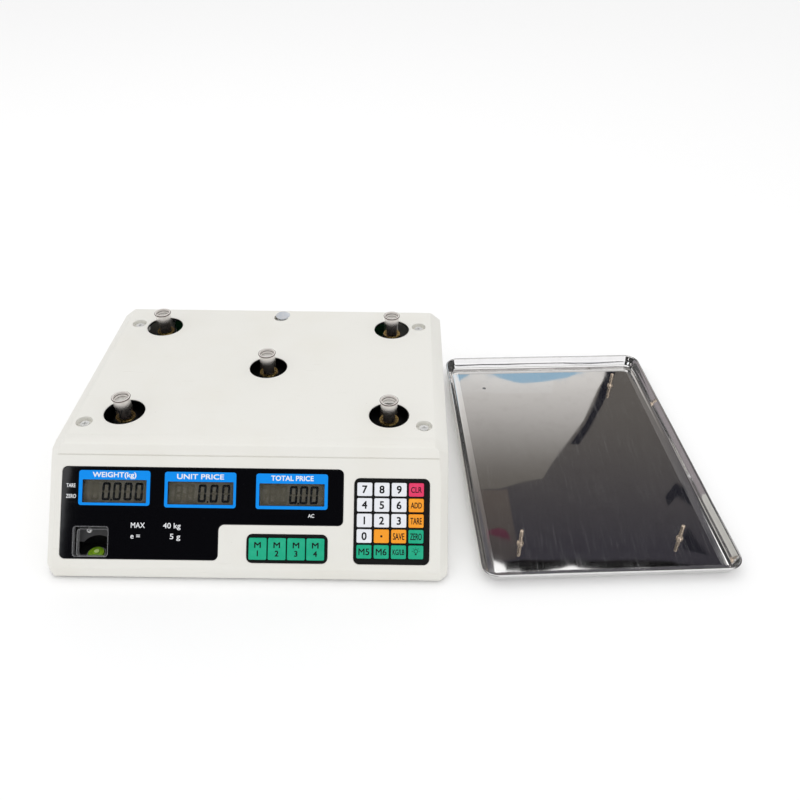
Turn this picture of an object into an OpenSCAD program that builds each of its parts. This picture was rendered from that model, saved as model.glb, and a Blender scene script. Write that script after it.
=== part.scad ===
// A price-computing counter scale. Its weighing pan is lifted off and lies beside it, studs upwards.
// Millimetres. X is to the operator's right, Y is away from the operator and Z is up. The origin is
// on the table, in the middle of the four levelling feet.

/* [Housing] */
// Width of the housing
base_w = 344; // [340:1:348]
// Depth of the housing, from the front lip to the rear wall
base_d = 304; // [300:1:308]
// Height of the deck above the table
deck_h = 94.5; // [94:0.5:96]
// Wall thickness of both covers
wall = 2.5; // [2.2:0.1:2.6]
// Gap between the table and the housing's lower edge
foot_gap = 2.5; // [2:0.5:3]
// Height of the front lip
lip_h = 13.3; // [13:0.1:14]
// Slope of the front panel from the horizontal
panel_slope = 49.5; // [49:0.1:50]
// Length of the front panel, measured up its slope
panel_len = 96; // [95:0.5:96]

/* [Deck] */
// Middle of the deck's holes, in front of or behind the origin
deck_y = 34; // [33:0.5:35]
// Distance between the holes from left to right
hole_dx = 239; // [236:1:240]
// Distance between the holes from front to back
hole_dy = 147; // [144:1:148]
// Diameter of each hole
hole_d = 36.3; // [34:0.1:38]
// Height of the sleeves' tops above the table
sleeve_top = 111.5; // [110:0.5:113]
// Diameter of the screw recesses
recess_d = 14.5; // [13:0.5:15]
// Depth of the screw recesses
recess_depth = 5; // [4:0.5:5.5]

/* [Keys] */
// Width of a main key
key_w = 12.85; // [12:0.05:13]
// Height of a main key, up the panel
key_h = 11.45; // [11:0.05:11.6]
// Width of a memory key
memory_w = 15.3; // [14.5:0.1:15.4]
// Height of a memory key
memory_h = 18.5; // [17:0.1:18.6]
// How far the keys stand out of the panel
key_rise = 1.6; // [1:0.1:2.2]

/* [Display] */
// Width of the glass of one liquid-crystal display
lcd_w = 64; // [60:1:66]
// Height of the glass
lcd_h = 27; // [25:1:28]

/* [Pan] */
// Length of the pan over its rim
pan_l = 333; // [330:1:340]
// Width of the pan over its rim
pan_w = 230; // [226:1:234]
// Height of the pan's rim
pan_h = 12.4; // [11:0.1:13]
// Thickness of the pan's sheet
sheet = 1; // [0.8:0.1:1.2]
// Length of the studs that stand on the pan's underside
stud_l = 17; // [16:0.5:18]
// Place of the pan's middle on the table
pan_at = [306.4, 17.1];
// Turn of the pan on the table
pan_turn = 3.3; // [0:0.1:4]

/* [Feet] */
// Distance between the feet from left to right
foot_dx = 280; // [276:1:282]
// Distance between the feet from front to back
foot_dy = 200; // [196:1:204]
// Diameter of a foot's pad
foot_d = 24; // [20:1:25]

/* [Hidden] */
$fn = 48;
arc_steps = 5;
eps = 0.01;
half_w = base_w / 2;
half_d = base_d / 2;

// The housing's profile from the side, as points in Y and Z
panel_top = [-half_d + panel_len * cos(panel_slope), lip_h + panel_len * sin(panel_slope)];
nose = [panel_top[0] + 6.7, deck_h - 1.4];
deck_front = nose[0] + 11;
deck_rear = half_d - 9.5;
rear_top = deck_h - 8;
// Each side bevel: the profile's edge, the half width where the bevel starts, and its drop
bevels = [[2, half_w - 10, 7], [3, half_w - 11.5, 8], [4, half_w - 11.5, 8],
          [5, half_w - 8.5, 7], [6, half_w - 7, 6.5]];
corner_cut = 6.4;

// The front window's outline on the panel: across from the middle, and up from the panel's foot
win_left = -159.2;
win_step = -24.3;
win_right = 82;
win_low = 7.4;
win_mid = 37.8;
win_top = 85.8;
win_r = 4.5;
lcd_u = [-114.2, -40.4, 37.8];
lcd_v = 64.2;
level_u = -133.3;
level_v = 22;

// The keypads' layout on the panel
key_pitch = [14.7, 13.2];
first_key = [100.2, 69.4];
pad_size = [64.4, 72.7];
pad_at = [123.5, 42.25];
memory_pitch = 16.35;
first_memory = [9.8, 17.9];
memory_size = [68.8, 24.2];
memory_at = [34.6, 18];
key_gap = 0.15;
flange = 3;
pad_front = 0.5;
pad_back = -4.8;
board_front = -9.9;
board_t = 1.6;

// Screw posts, where the top cover is held down
posts = [[-148, deck_y + 79], [148, deck_y + 79], [-151, deck_y - 88.5], [151, deck_y - 88.5],
         [0, deck_y + 95]];
post_d = 11;
recess_floor = deck_h - recess_depth;
feet = [[-1, -1], [1, -1], [-1, 1], [1, 1]];
foot_names = ["front_left", "front_right", "rear_left", "rear_right"];
socket_spots = [[0, 0], [-1, -1], [1, -1], [-1, 1], [1, 1]];

// Heights inside the housing
tray_z = foot_gap + 1;
tray_top = tray_z + wall;
base_plate_t = 2;
cell_z = tray_top + base_plate_t + 14;
cell_h = 22;
carrier_z = cell_z + cell_h + 14;
carrier_top = 76.5;
collar_top = 88;
washer_top = 89.6;
peg_top = 101;
socket_d = 5;

// The rear wall's fittings
rear_win = [250, 30];
rear_win_z = 65;
inlet_at = [110, 28];
rocker_x = inlet_at[0] + 14;
socket_x = inlet_at[0] - 11;
pivot_y = half_d - 3;

// The pan's rim: the radius of its corners and the slope of its wall
pan_r = 15;
rim_slope = 64;
rim_bend = 5;

main_keys = ["7", "8", "9", "clear", "4", "5", "6", "add", "1", "2", "3", "tare",
             "0", "point", "save", "zero", "m5", "m6", "unit", "lamp"];

// ---------- functions ----------

function unit(v) = v / norm(v);
function inward(p, q) = [p[1] - q[1], q[0] - p[0]] / norm(q - p);
function meet(p, d, q, e) = p + d * cross(q - p, e) / cross(d, e);

// A convex outline, run anticlockwise, with every edge moved inwards by t
function inset(pts, t) = [for (i = [0:len(pts) - 1])
    let (n = len(pts), a = pts[(i + n - 1) % n], b = pts[i], c = pts[(i + 1) % n])
    meet(b + t * inward(a, b), b - a, b + t * inward(b, c), c - b)];

// The arc that rounds corner b between a and c; b[2] is its radius
function corner(a, b, c) =
    let (p = [b[0], b[1]], u = unit([a[0], a[1]] - p), v = unit([c[0], c[1]] - p),
         half = acos(u * v) / 2, start = p + u * b[2] / tan(half),
         centre = p + unit(u + v) * b[2] / sin(half),
         from = atan2(start[1] - centre[1], start[0] - centre[0]),
         sweep = (180 - 2 * half) * sign(cross(-u, v)))
    [for (k = [0:arc_steps]) let (at = from + sweep * k / arc_steps) centre + b[2] * [cos(at), sin(at)]];
function rounded(pts) = [for (i = [0:len(pts) - 1])
    let (n = len(pts)) each corner(pts[(i + n - 1) % n], pts[i], pts[(i + 1) % n])];

function profile(low) = [[-half_d, low], [half_d, low], [half_d, rear_top], [deck_rear, deck_h],
                         [deck_front, deck_h], nose, panel_top, [-half_d, lip_h]];
function window_outline(g) = rounded([
    [win_left - g, win_low - g, win_r + g], [win_step + g, win_low - g, win_r + g],
    [win_step + g, win_mid - g, 5 - g / 2], [win_right + g, win_mid - g, win_r + g],
    [win_right + g, win_top + g, win_r + g], [win_left - g, win_top + g, win_r + g]]);

// ---------- shared shapes ----------

module along_x(length) rotate([90, 0, 90]) linear_extrude(length, center = true) children();

module rounded_rect(size, r) {
    x = size[0] / 2;
    y = size[1] / 2;
    polygon(rounded([[-x, -y, r], [x, -y, r], [x, y, r], [-x, y, r]]));
}

module block(from, to) translate(from) cube(to - from);

// A place on the front panel: across, up its slope, and out of it
module on_panel(u = 0, v = 0, w = 0)
    translate([0, -half_d, lip_h]) rotate([panel_slope, 0, 0]) translate([u, v, w]) children();

module plate(size, r, from, to)
    translate([0, 0, from]) linear_extrude(to - from) rounded_rect(size, r);

module window_plate(g, from, to)
    on_panel(w = from) linear_extrude(to - from) polygon(window_outline(g));

module at_posts() for (p = posts) translate([p[0], p[1], 0]) children();
module at_sockets() for (s = socket_spots)
    translate([s[0] * hole_dx / 2, deck_y + s[1] * hole_dy / 2, 0]) children();
module at_feet() for (f = feet) translate([f[0] * foot_dx / 2, f[1] * foot_dy / 2, 0]) children();

// A box seen through the rear wall, by its middle in X and Z
module in_rear_wall(x, z, size, r, from, to)
    translate([x, to, z]) rotate([90, 0, 0]) linear_extrude(to - from) rounded_rect(size, r);

// Cuts everything outside the bevel on one edge of the profile, moved inwards by t
module bevel_cut(bevel, t) {
    p = profile(foot_gap)[bevel[0]];
    q = profile(foot_gap)[(bevel[0] + 1) % 8];
    drop = atan2(bevel[2], half_w - bevel[1]);
    translate([0, q[0], q[1]]) rotate([atan2(p[1] - q[1], p[0] - q[0]), 0, 0])
        translate([bevel[1], 0, 0]) rotate([0, drop, 0]) translate([-60, -400, -t]) cube([300, 800, 100]);
}

// The housing's outer form with every face moved inwards by t
module housing(t, low) difference() {
    along_x(base_w - 2 * t) polygon(inset(profile(low), t));
    for (side = [0, 1]) mirror([side, 0, 0]) {
        for (bevel = bevels) bevel_cut(bevel, t);
        for (end = [0, 1]) mirror([0, end, 0]) translate([half_w, half_d, -50]) rotate(45)
            translate([-corner_cut / sqrt(2) - t, -50, 0]) cube([100, 100, 200]);
    }
}

// ---------- covers ----------

module recess_cup() translate([0, 0, recess_floor - wall])
    cylinder(d = recess_d + 2 * wall, h = recess_depth + wall - eps);

module top_cover() color([0.93, 0.92, 0.89]) difference() {
    union() {
        difference() {
            housing(0, foot_gap);
            housing(wall, -20);
        }
        // the shelves that the front and rear windows are stuck to
        window_plate(flange, -wall - 2, -wall + 0.2);
        in_rear_wall(0, rear_win_z, rear_win + [6, 5], 4, half_d - wall - 2, half_d - wall + 0.2);
        at_posts() recess_cup();
    }
    window_plate(0.15, -wall, 5);
    for (u = lcd_u) on_panel(u, lcd_v) plate([59, 22.5], 1, -10, 1);
    on_panel(level_u, level_v) plate([31, 26], 3, -10, 1);
    on_panel(pad_at[0], pad_at[1]) plate(pad_size + [0.3, 0.3], 5, -10, 5);
    on_panel(memory_at[0], memory_at[1]) plate(memory_size + [0.3, 0.3], 5, -10, 5);
    // the groove between the panel and the deck's nose
    on_panel(v = panel_len - 0.6, w = -0.8) translate([-half_w, 0, 0]) cube([base_w, 1.2, 5]);
    at_sockets() translate([0, 0, deck_h - 10]) cylinder(d = hole_d, h = 20);
    at_posts() {
        translate([0, 0, recess_floor]) cylinder(d = recess_d, h = 20);
        translate([0, 0, recess_floor - 10]) cylinder(r = 2.2, h = 20);
    }
    in_rear_wall(0, rear_win_z, rear_win + [0.3, 0.3], 4, half_d - wall, half_d + 5);
    in_rear_wall(0, rear_win_z, rear_win - [8, 7], 2, half_d - 20, half_d + 5);
    in_rear_wall(inlet_at[0], inlet_at[1], [47.4, 22.4], 1, half_d - 20, half_d + 5);
}

module tray_outline(t) {
    x = half_w - wall - t;
    y = half_d - wall - t;
    c = corner_cut;
    polygon([[c - x, -y], [x - c, -y], [x, c - y], [x, y - c], [x - c, y], [c - x, y],
             [-x, y - c], [-x, c - y]]);
}

module bottom_cover() color([0.86, 0.85, 0.82]) difference() {
    union() {
        translate([0, 0, tray_z]) linear_extrude(wall) tray_outline(0.35);
        translate([0, 0, tray_z]) linear_extrude(7) difference() {
            tray_outline(0.35);
            tray_outline(2.35);
        }
        for (x = [-110:55:110]) if (x != 0)
            block([x - 1, -half_d + 50, tray_z], [x + 1, half_d - 15, tray_top + 0.4]);
        at_feet() {
            translate([0, 0, tray_z]) cylinder(d = foot_d + 10, h = 9);
            translate([0, 0, tray_z]) cylinder(d = 16, h = 16.5);
        }
        at_posts() {
            translate([0, 0, tray_z]) cylinder(d = post_d, h = recess_floor - wall - 0.1 - tray_z);
            for (turn = [0, 90]) rotate(turn) translate([-9, -1, tray_z]) cube([18, 2, 24]);
        }
    }
    at_feet() {
        translate([0, 0, tray_z - 1]) cylinder(d = foot_d + 6, h = 7.5);
        cylinder(r = 4.05, h = 60);
    }
    at_posts() translate([0, 0, 62]) cylinder(r = 2, h = 40);
}

module cover_screws() color([0.35, 0.35, 0.36]) at_posts() difference() {
    union() {
        translate([0, 0, recess_floor]) cylinder(d = 8, h = 2.6);
        translate([0, 0, 68]) cylinder(r = 1.95, h = recess_floor - 68 + eps);
    }
    for (turn = [0, 90]) rotate(turn) translate([-2.2, -0.5, recess_floor + 1.2]) cube([4.4, 1, 3]);
}

// ---------- feet ----------

module foot(i) color([0.1, 0.1, 0.11])
    translate([feet[i][0] * foot_dx / 2, feet[i][1] * foot_dy / 2, 0]) {
        cylinder(d = foot_d, h = 3.5);
        translate([0, 0, 3.5]) cylinder(d1 = foot_d, d2 = 15, h = 3.5);
        cylinder(r = 4, h = 22);
    }

// ---------- load cell and weighing carrier ----------

module base_plate() color([0.62, 0.63, 0.65]) difference() {
    block([-64, deck_y - 54, tray_top + 0.5], [64, deck_y + 54, tray_top + 0.5 + base_plate_t]);
    for (x = [-1, 1], y = [-1, 1]) translate([x * 56, deck_y + y * 46, 0]) cylinder(d = 5.5, h = 30);
}

module cell_base_block() color([0.75, 0.76, 0.78]) difference() {
    block([-63, deck_y - 17, tray_top + 0.5 + base_plate_t], [-29, deck_y + 17, cell_z]);
    for (y = [-9, 9]) translate([-46, deck_y + y, 0]) cylinder(r = 3.3, h = 60);
}

module cell_top_block() color([0.75, 0.76, 0.78]) difference() {
    block([29, deck_y - 17, cell_z + cell_h], [63, deck_y + 17, carrier_z]);
    for (y = [-9, 9]) translate([46, deck_y + y, 0]) cylinder(r = 3.3, h = 90);
}

module load_cell() color([0.8, 0.81, 0.82]) difference() {
    block([-65, deck_y - 15, cell_z], [65, deck_y + 15, cell_z + cell_h]);
    // the two joined holes that let the middle bend, and their slot
    for (x = [-11, 11]) translate([x, deck_y + 50, cell_z + cell_h / 2])
        rotate([90, 0, 0]) cylinder(d = 16, h = 100);
    block([-11, deck_y - 50, cell_z + cell_h / 2 - 3], [11, deck_y + 50, cell_z + cell_h / 2 + 3]);
    for (x = [-46, 46], y = [-9, 9]) translate([x, deck_y + y, 0]) cylinder(r = 3.3, h = 90);
}

module hex_bolt(r, length) {
    cylinder(r = r, h = length);
    rotate(30) cylinder(r = r * 1.9, h = r * 1.3, $fn = 6);
}

module cell_base_bolts() color([0.3, 0.3, 0.31])
    for (y = [-9, 9]) translate([-46, deck_y + y, cell_z + cell_h + 4]) rotate([180, 0, 0])
        hex_bolt(3, 38);

module carrier_screws() color([0.3, 0.3, 0.31])
    for (y = [-9, 9]) translate([46, deck_y + y, carrier_top + 4]) rotate([180, 0, 0]) hex_bolt(3, 26);

module overload_stops() color([0.55, 0.55, 0.57])
    for (x = [-1, 1], y = [-1, 1]) translate([x * 57, deck_y + y * 35, tray_top + 0.5 + base_plate_t])
        hex_bolt(3, 60.5 - tray_top - 0.5 - base_plate_t);

module carrier() color([0.06, 0.06, 0.07]) difference() {
    union() {
        translate([0, deck_y, 0]) plate([hole_dx + 34, hole_dy + 32], 14, carrier_top - 2.5, carrier_top);
        block([18, deck_y - 24, carrier_z], [70, deck_y + 24, carrier_top - 1]);
        // ribs: a diagonal cross, and an edge strip on each long side
        for (side = [-1, 1]) translate([0, deck_y, 61.5]) rotate(side * atan2(hole_dy, hole_dx))
            translate([-146, -4, 0]) cube([292, 8, 13]);
        for (y = [-1, 1]) block([-hole_dx / 2 - 8, deck_y + y * 84 - 1.5, 68],
                                [hole_dx / 2 + 8, deck_y + y * 84 + 1.5, carrier_top - 1]);
        at_sockets() {
            translate([0, 0, 66]) cylinder(d = 24, h = carrier_top - 66);
            translate([0, 0, carrier_top - 1]) cylinder(d1 = 22, d2 = 19, h = collar_top - carrier_top + 1);
            translate([0, 0, collar_top - 1]) cylinder(r = 5.3, h = peg_top - collar_top + 1);
        }
    }
    at_sockets() translate([0, 0, 84]) cylinder(d = socket_d, h = 30);
    for (y = [-9, 9]) translate([46, deck_y + y, 0]) cylinder(r = 3.3, h = 90);
}

module sleeve_washers() color([0.75, 0.58, 0.28]) at_sockets()
    translate([0, 0, collar_top]) difference() {
        cylinder(d = 17.5, h = washer_top - collar_top);
        translate([0, 0, -1]) cylinder(r = 5.6, h = 5);
    }

module sleeves() color([0.85, 0.86, 0.84, 0.5]) at_sockets() rotate_extrude()
    polygon([[5.6, washer_top], [7.5, washer_top], [7.5, sleeve_top - 2.2], [8.25, sleeve_top - 1.4],
             [8.25, sleeve_top - 0.4], [7.85, sleeve_top], [6.9, sleeve_top], [6.7, sleeve_top - 0.3],
             [6.7, sleeve_top - 3], [5.6, sleeve_top - 4]]);

// ---------- front panel ----------

module display_window() color([0.03, 0.03, 0.04, 0.9]) window_plate(0, -wall, -0.2);

module lcd(i) color([0.42, 0.42, 0.34]) on_panel(lcd_u[i], lcd_v) {
    plate([lcd_w, lcd_h], 0.8, -7.4, -5.7);
    plate([lcd_w - 3, lcd_h - 2], 0.8, -5.7, -4.6);
}

module display_board() color([0.1, 0.35, 0.2]) difference() {
    on_panel(-35, 65) plate([236, 40], 1, board_front + 0.9, board_front + 2.5);
    for (u = [-148, -77, -1, 78], v = [49, 81]) on_panel(u, v, -20) cylinder(d = 3.2, h = 20);
}

// The grid that a group of keys comes up through
module key_grid(size, at, key_size, first, pitch, columns, rows) difference() {
    union() {
        on_panel(at[0], at[1]) plate(size, 5, -wall, pad_front);
        on_panel(at[0], at[1]) plate(size + 2 * [flange, flange], 2, pad_back, -wall);
    }
    for (i = [0:columns - 1], j = [0:rows - 1])
        on_panel(first[0] + i * pitch[0], first[1] - j * pitch[1])
            plate(key_size + 2 * [key_gap, key_gap], 1.3, -20, 20);
}

module keypad_frame() color([0.05, 0.05, 0.06])
    key_grid(pad_size, pad_at, [key_w, key_h], first_key, key_pitch, 4, 5);

module memory_frame() color([0.05, 0.05, 0.06])
    key_grid(memory_size, memory_at, [memory_w, memory_h], first_memory, [memory_pitch, 0], 4, 1);

module key_shape(u, v, size) {
    on_panel(u, v) plate(size, 1.2, pad_back - 0.2, key_rise);
    on_panel(u, v) plate(size + [0.8, 0.8], 1.2, pad_back - 2.2, pad_back - 0.2);
    on_panel(u, v, pad_back - 3.9) cylinder(d = 4.5, h = 2);
}

// Main keys run from the top left, row by row
module main_key(i) key_shape(first_key[0] + (i % 4) * key_pitch[0],
                             first_key[1] - floor(i / 4) * key_pitch[1], [key_w, key_h]);
function key_colour(i) =
    i == 3 ? [0.88, 0.2, 0.4] :
    i == 7 || i == 11 || i == 13 || i == 14 ? [0.95, 0.6, 0.15] :
    i > 14 ? [0.05, 0.65, 0.5] : [0.93, 0.94, 0.95];

module memory_key(i) key_shape(first_memory[0] + (i - 1) * memory_pitch, first_memory[1],
                               [memory_w, memory_h]);

module key_board() color([0.1, 0.35, 0.2]) {
    on_panel(w = board_front - board_t) linear_extrude(board_t)
        polygon([[-2, 4], [158, 4], [158, 80], [89, 80], [89, 33], [-2, 33]]);
    // the switches' domes
    for (i = [0:3]) {
        for (j = [0:4]) on_panel(first_key[0] + i * key_pitch[0], first_key[1] - j * key_pitch[1],
                                 board_front - eps) cylinder(d = 6, h = 0.3);
        on_panel(first_memory[0] + i * memory_pitch, first_memory[1], board_front - eps)
            cylinder(d = 6, h = 0.3);
    }
}

// ---------- bubble level ----------

vial_at = [-132.5, -135.5];
module below_panel(w) intersection() {
    children();
    on_panel(w = w - 200) translate([-300, -200, 0]) cube([600, 600, 200]);
}

module level_housing() color([0.04, 0.04, 0.05]) below_panel(-wall - 2.1) difference() {
    block([-151, -146, tray_top + 0.1], [-115.5, -118.5, 41]);
    block([-149.4, -160, tray_top + 1.7], [-117.1, -120.1, 39.4]);
}

module level_vial() color([0.45, 0.75, 0.1]) translate([vial_at[0], vial_at[1], tray_top + 1.7]) {
    cylinder(d = 17, h = 6);
    translate([0, 0, 6]) cylinder(d = 14, h = 1.4);
}

// ---------- electronics ----------

module mainboard() color([0.1, 0.35, 0.2]) {
    difference() {
        block([68, -44, 14], [166, 44, 15.6]);
        for (x = [72, 162], y = [-40, 40]) translate([x, y, 0]) cylinder(d = 3.2, h = 30);
    }
    for (x = [72, 162], y = [-40, 40]) translate([x, y, tray_top]) difference() {
        cylinder(d = 6.5, h = 14 - tray_top);
        cylinder(d = 3.2, h = 30);
    }
    block([90, -20, 15.6], [112, 2, 18]);
    block([122, -30, 15.6], [134, -12, 18]);
    for (x = [88, 104, 120]) translate([x, 26, 15.6]) cylinder(d = 10, h = 18);
    block([140, 10, 15.6], [164, 34, 24]);
    block([74, -42, 15.6], [96, -36, 23]);
}

module battery() color([0.15, 0.15, 0.17]) {
    block([-167, -45, tray_top + 0.5], [-66.5, 25, 50]);
    block([-165, -43, 50], [-68.5, 23, 52]);
    for (x = [-155, -78]) block([x - 0.4, 12, 52], [x + 0.4, 18.3, 58]);
}

module transformer() color([0.45, 0.42, 0.38]) {
    block([76, 60, tray_top + 2], [110, 102, 48]);
    block([68, 66, 16], [118, 96, 39]);
    block([66, 62, tray_top + 0.5], [120, 100, tray_top + 2.1]);
}

module power_inlet() color([0.07, 0.07, 0.08]) {
    difference() {
        union() {
            in_rear_wall(inlet_at[0], inlet_at[1], [52, 27], 3, half_d, half_d + 2);
            in_rear_wall(inlet_at[0], inlet_at[1], [47, 22], 1, half_d - 26, half_d + eps);
        }
        // the socket, with its two cut corners
        translate([socket_x, half_d + 5, inlet_at[1]]) rotate([90, 0, 0]) linear_extrude(20)
            polygon([[-12, -8.3], [12, -8.3], [12, 4.5], [8.2, 8.3], [-8.2, 8.3], [-12, 4.5]]);
        // the rocker's well and the bearings of its pivot
        in_rear_wall(rocker_x, inlet_at[1], [13.2, 19.4], 0.5, half_d - 13, half_d + 5);
        translate([rocker_x, pivot_y, inlet_at[1]]) rotate([0, 90, 0])
            cylinder(r = 1.55, h = 16.4, center = true);
    }
    for (pin = [[-7, -2], [7, -2], [0, 2]])
        in_rear_wall(socket_x + pin[0], inlet_at[1] + pin[1], [2, 4], 0.4, half_d - 16, half_d - 3.2);
}

// The rocker, drawn switched off: its lower half is pressed in
module power_rocker() color([0.6, 0.08, 0.08])
    translate([rocker_x, pivot_y, inlet_at[1]]) rotate([-9, 0, 0]) {
        difference() {
            rotate([0, 90, 0]) cylinder(r = 9.4, h = 12.6, center = true);
            block([-10, -20, -20], [10, -4, 20]);
            for (side = [0, 1]) mirror([0, 0, side]) translate([-10, 3, 0]) rotate([-16, 0, 0])
                cube([20, 20, 20]);
        }
        rotate([0, 90, 0]) cylinder(r = 1.5, h = 15.6, center = true);
    }

module rear_window() color([0.05, 0.05, 0.07, 0.9])
    in_rear_wall(0, rear_win_z, rear_win, 4, half_d - wall, half_d - 0.2);

module rear_display() color([0.42, 0.42, 0.34]) {
    in_rear_wall(0, rear_win_z + 1, [240, 36], 1, half_d - 9, half_d - 7.4);
    for (x = lcd_u) in_rear_wall(-x - 38, rear_win_z, [66, 24], 1, half_d - 7.4, half_d - 4.6);
}

// ---------- pan ----------

// One side of the rim in section: outwards from the corner's centre, and up
function rim_arc(radius, centre_z) = [for (k = [0:arc_steps])
    let (at = -90 + rim_slope * k / arc_steps)
    [rim_foot + radius * cos(at), centre_z + radius * sin(at)]];
rim_foot = pan_r - rim_bend * sin(rim_slope)
    - (pan_h - rim_bend * (1 - cos(rim_slope))) / tan(rim_slope);
hem_z = pan_h - 6;
hem_out = pan_r - (pan_h - hem_z) / tan(rim_slope);
rim_section = concat([[0, 0]], rim_arc(rim_bend, rim_bend),
    [[pan_r, pan_h - 0.8], [pan_r - 0.5, pan_h], [pan_r - 2, pan_h], [pan_r - 2.6, pan_h - 0.8],
     [hem_out - 2.3, hem_z], [hem_out - 1.2, hem_z - 0.2]],
    [for (k = [arc_steps:-1:0]) rim_arc(rim_bend - sheet, rim_bend)[k]], [[0, sheet]]);

module on_table_beside() translate([pan_at[0], pan_at[1], 0]) rotate(pan_turn) children();

module pan() color([0.75, 0.75, 0.76]) on_table_beside() {
    x = pan_w / 2 - pan_r;
    y = pan_l / 2 - pan_r;
    block([-x - eps, -y - eps, 0], [x + eps, y + eps, sheet]);
    for (side = [0, 180]) rotate(side) {
        translate([x, 0, 0]) rotate([90, 0, 0]) linear_extrude(2 * y, center = true) polygon(rim_section);
        translate([0, y, 0]) rotate([90, 0, 90]) linear_extrude(2 * x, center = true) polygon(rim_section);
        translate([x, y, 0]) rotate_extrude(angle = 90) polygon(rim_section);
        translate([x, -y, 0]) rotate([0, 0, -90]) rotate_extrude(angle = 90) polygon(rim_section);
    }
}

module pan_studs() color([0.78, 0.68, 0.48]) on_table_beside()
    for (at = [[1, 1], [-1, -1], [1, -1]]) translate([at[0] * hole_dy / 2, at[1] * hole_dx / 2, sheet]) {
        cylinder(d1 = 6.4, d2 = 6, h = 1.4);
        translate([0, 0, 1.4]) cylinder(d1 = 6, d2 = 4, h = 0.9);
        cylinder(r = 2, h = stud_l - 0.8);
        translate([0, 0, stud_l - 0.8]) cylinder(r1 = 2, r2 = 1.4, h = 0.8);
    }

// ---------- nodes ----------

top_cover();
bottom_cover();
base_plate();
cell_base_block();
load_cell();
cell_top_block();
cell_base_bolts();
carrier_screws();
overload_stops();
carrier();
sleeve_washers();
sleeves();
display_window();
lcd(0);  // lcd_weight
lcd(1);  // lcd_unit_price
lcd(2);  // lcd_total_price
display_board();
keypad_frame();
memory_frame();
key_board();
level_housing();
level_vial();
mainboard();
battery();
transformer();
power_inlet();
power_rocker();
rear_window();
rear_display();
cover_screws();
pan();
pan_studs();
for (i = [0:3]) foot(i);
for (i = [0:19]) color(key_colour(i)) main_key(i);
for (i = [1:4]) color([0.05, 0.65, 0.5]) memory_key(i);
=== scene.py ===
import math

import bmesh
import bpy
from mathutils import Matrix, Vector, noise


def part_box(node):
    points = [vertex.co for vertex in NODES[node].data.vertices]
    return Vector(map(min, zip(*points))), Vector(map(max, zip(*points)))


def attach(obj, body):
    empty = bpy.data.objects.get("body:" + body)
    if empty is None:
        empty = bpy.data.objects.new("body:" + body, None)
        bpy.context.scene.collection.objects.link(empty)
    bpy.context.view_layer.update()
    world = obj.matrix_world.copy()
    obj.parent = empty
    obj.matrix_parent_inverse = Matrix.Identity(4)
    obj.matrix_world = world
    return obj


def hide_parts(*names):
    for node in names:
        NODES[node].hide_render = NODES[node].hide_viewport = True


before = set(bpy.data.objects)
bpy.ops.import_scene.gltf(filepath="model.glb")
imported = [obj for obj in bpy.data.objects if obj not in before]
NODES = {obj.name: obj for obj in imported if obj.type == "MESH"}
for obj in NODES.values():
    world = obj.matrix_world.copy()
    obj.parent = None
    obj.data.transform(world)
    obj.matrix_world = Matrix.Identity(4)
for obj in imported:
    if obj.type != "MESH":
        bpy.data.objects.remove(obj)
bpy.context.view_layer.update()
MM = 0.001


def in_mm(box):
    return [Vector(corner) / MM for corner in box]


def shift(x, y=0, z=0):
    return Matrix.Translation((x, y, z))


def turn(degrees, axis="Z"):
    return Matrix.Rotation(math.radians(degrees), 4, axis)


def put(name, data):
    """A new object in the scene."""
    made = bpy.data.objects.new(name, data)
    bpy.context.scene.collection.objects.link(made)
    return made


# Sizes are in millimetres, in the frame's own axes. The housing's come from its CAD box.
LOW, HIGH = in_mm(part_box("top_cover"))
HALF_W = HIGH.x
HALF_D = HIGH.y
DECK_Z = HIGH.z
FOOT_GAP = LOW.z
WALL = 2.5
LIP_Z = 13.3  # the top of the front lip, where the sloping panel starts
PANEL_SLOPE = math.radians(49.5)
PANEL_LEN = 96
DECK_Y = 34  # the middle socket's place, and so the weighing carrier's
HOLE_SPAN = (239, 147)
HOLE_R = 36.3 / 2
SLEEVE_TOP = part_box("sleeves")[1].z / MM
RECESS_R = 7.25
RECESS_DEPTH = 5
# The five screw recesses, and the five sockets that the sleeves stand in
POSTS = [(-148, 113), (148, 113), (-151, -54.5), (151, -54.5), (0, 129)]
SOCKETS = [(0, DECK_Y)] + [(x * HOLE_SPAN[0] / 2, DECK_Y + y * HOLE_SPAN[1] / 2)
                           for x in (-1, 1) for y in (-1, 1)]
GROOVE = (PANEL_LEN - 0.6, 1.2, 0.8)  # along the panel's top: its place, width and depth
PANEL = shift(0, -HALF_D, LIP_Z) @ Matrix.Rotation(PANEL_SLOPE, 4, "X")


def on_panel(u=0, v=0, w=0):
    """A place on the front panel: across from the middle, up from its foot, and out of it."""
    return PANEL @ shift(u, v, w)


# ---------- materials ----------

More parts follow.
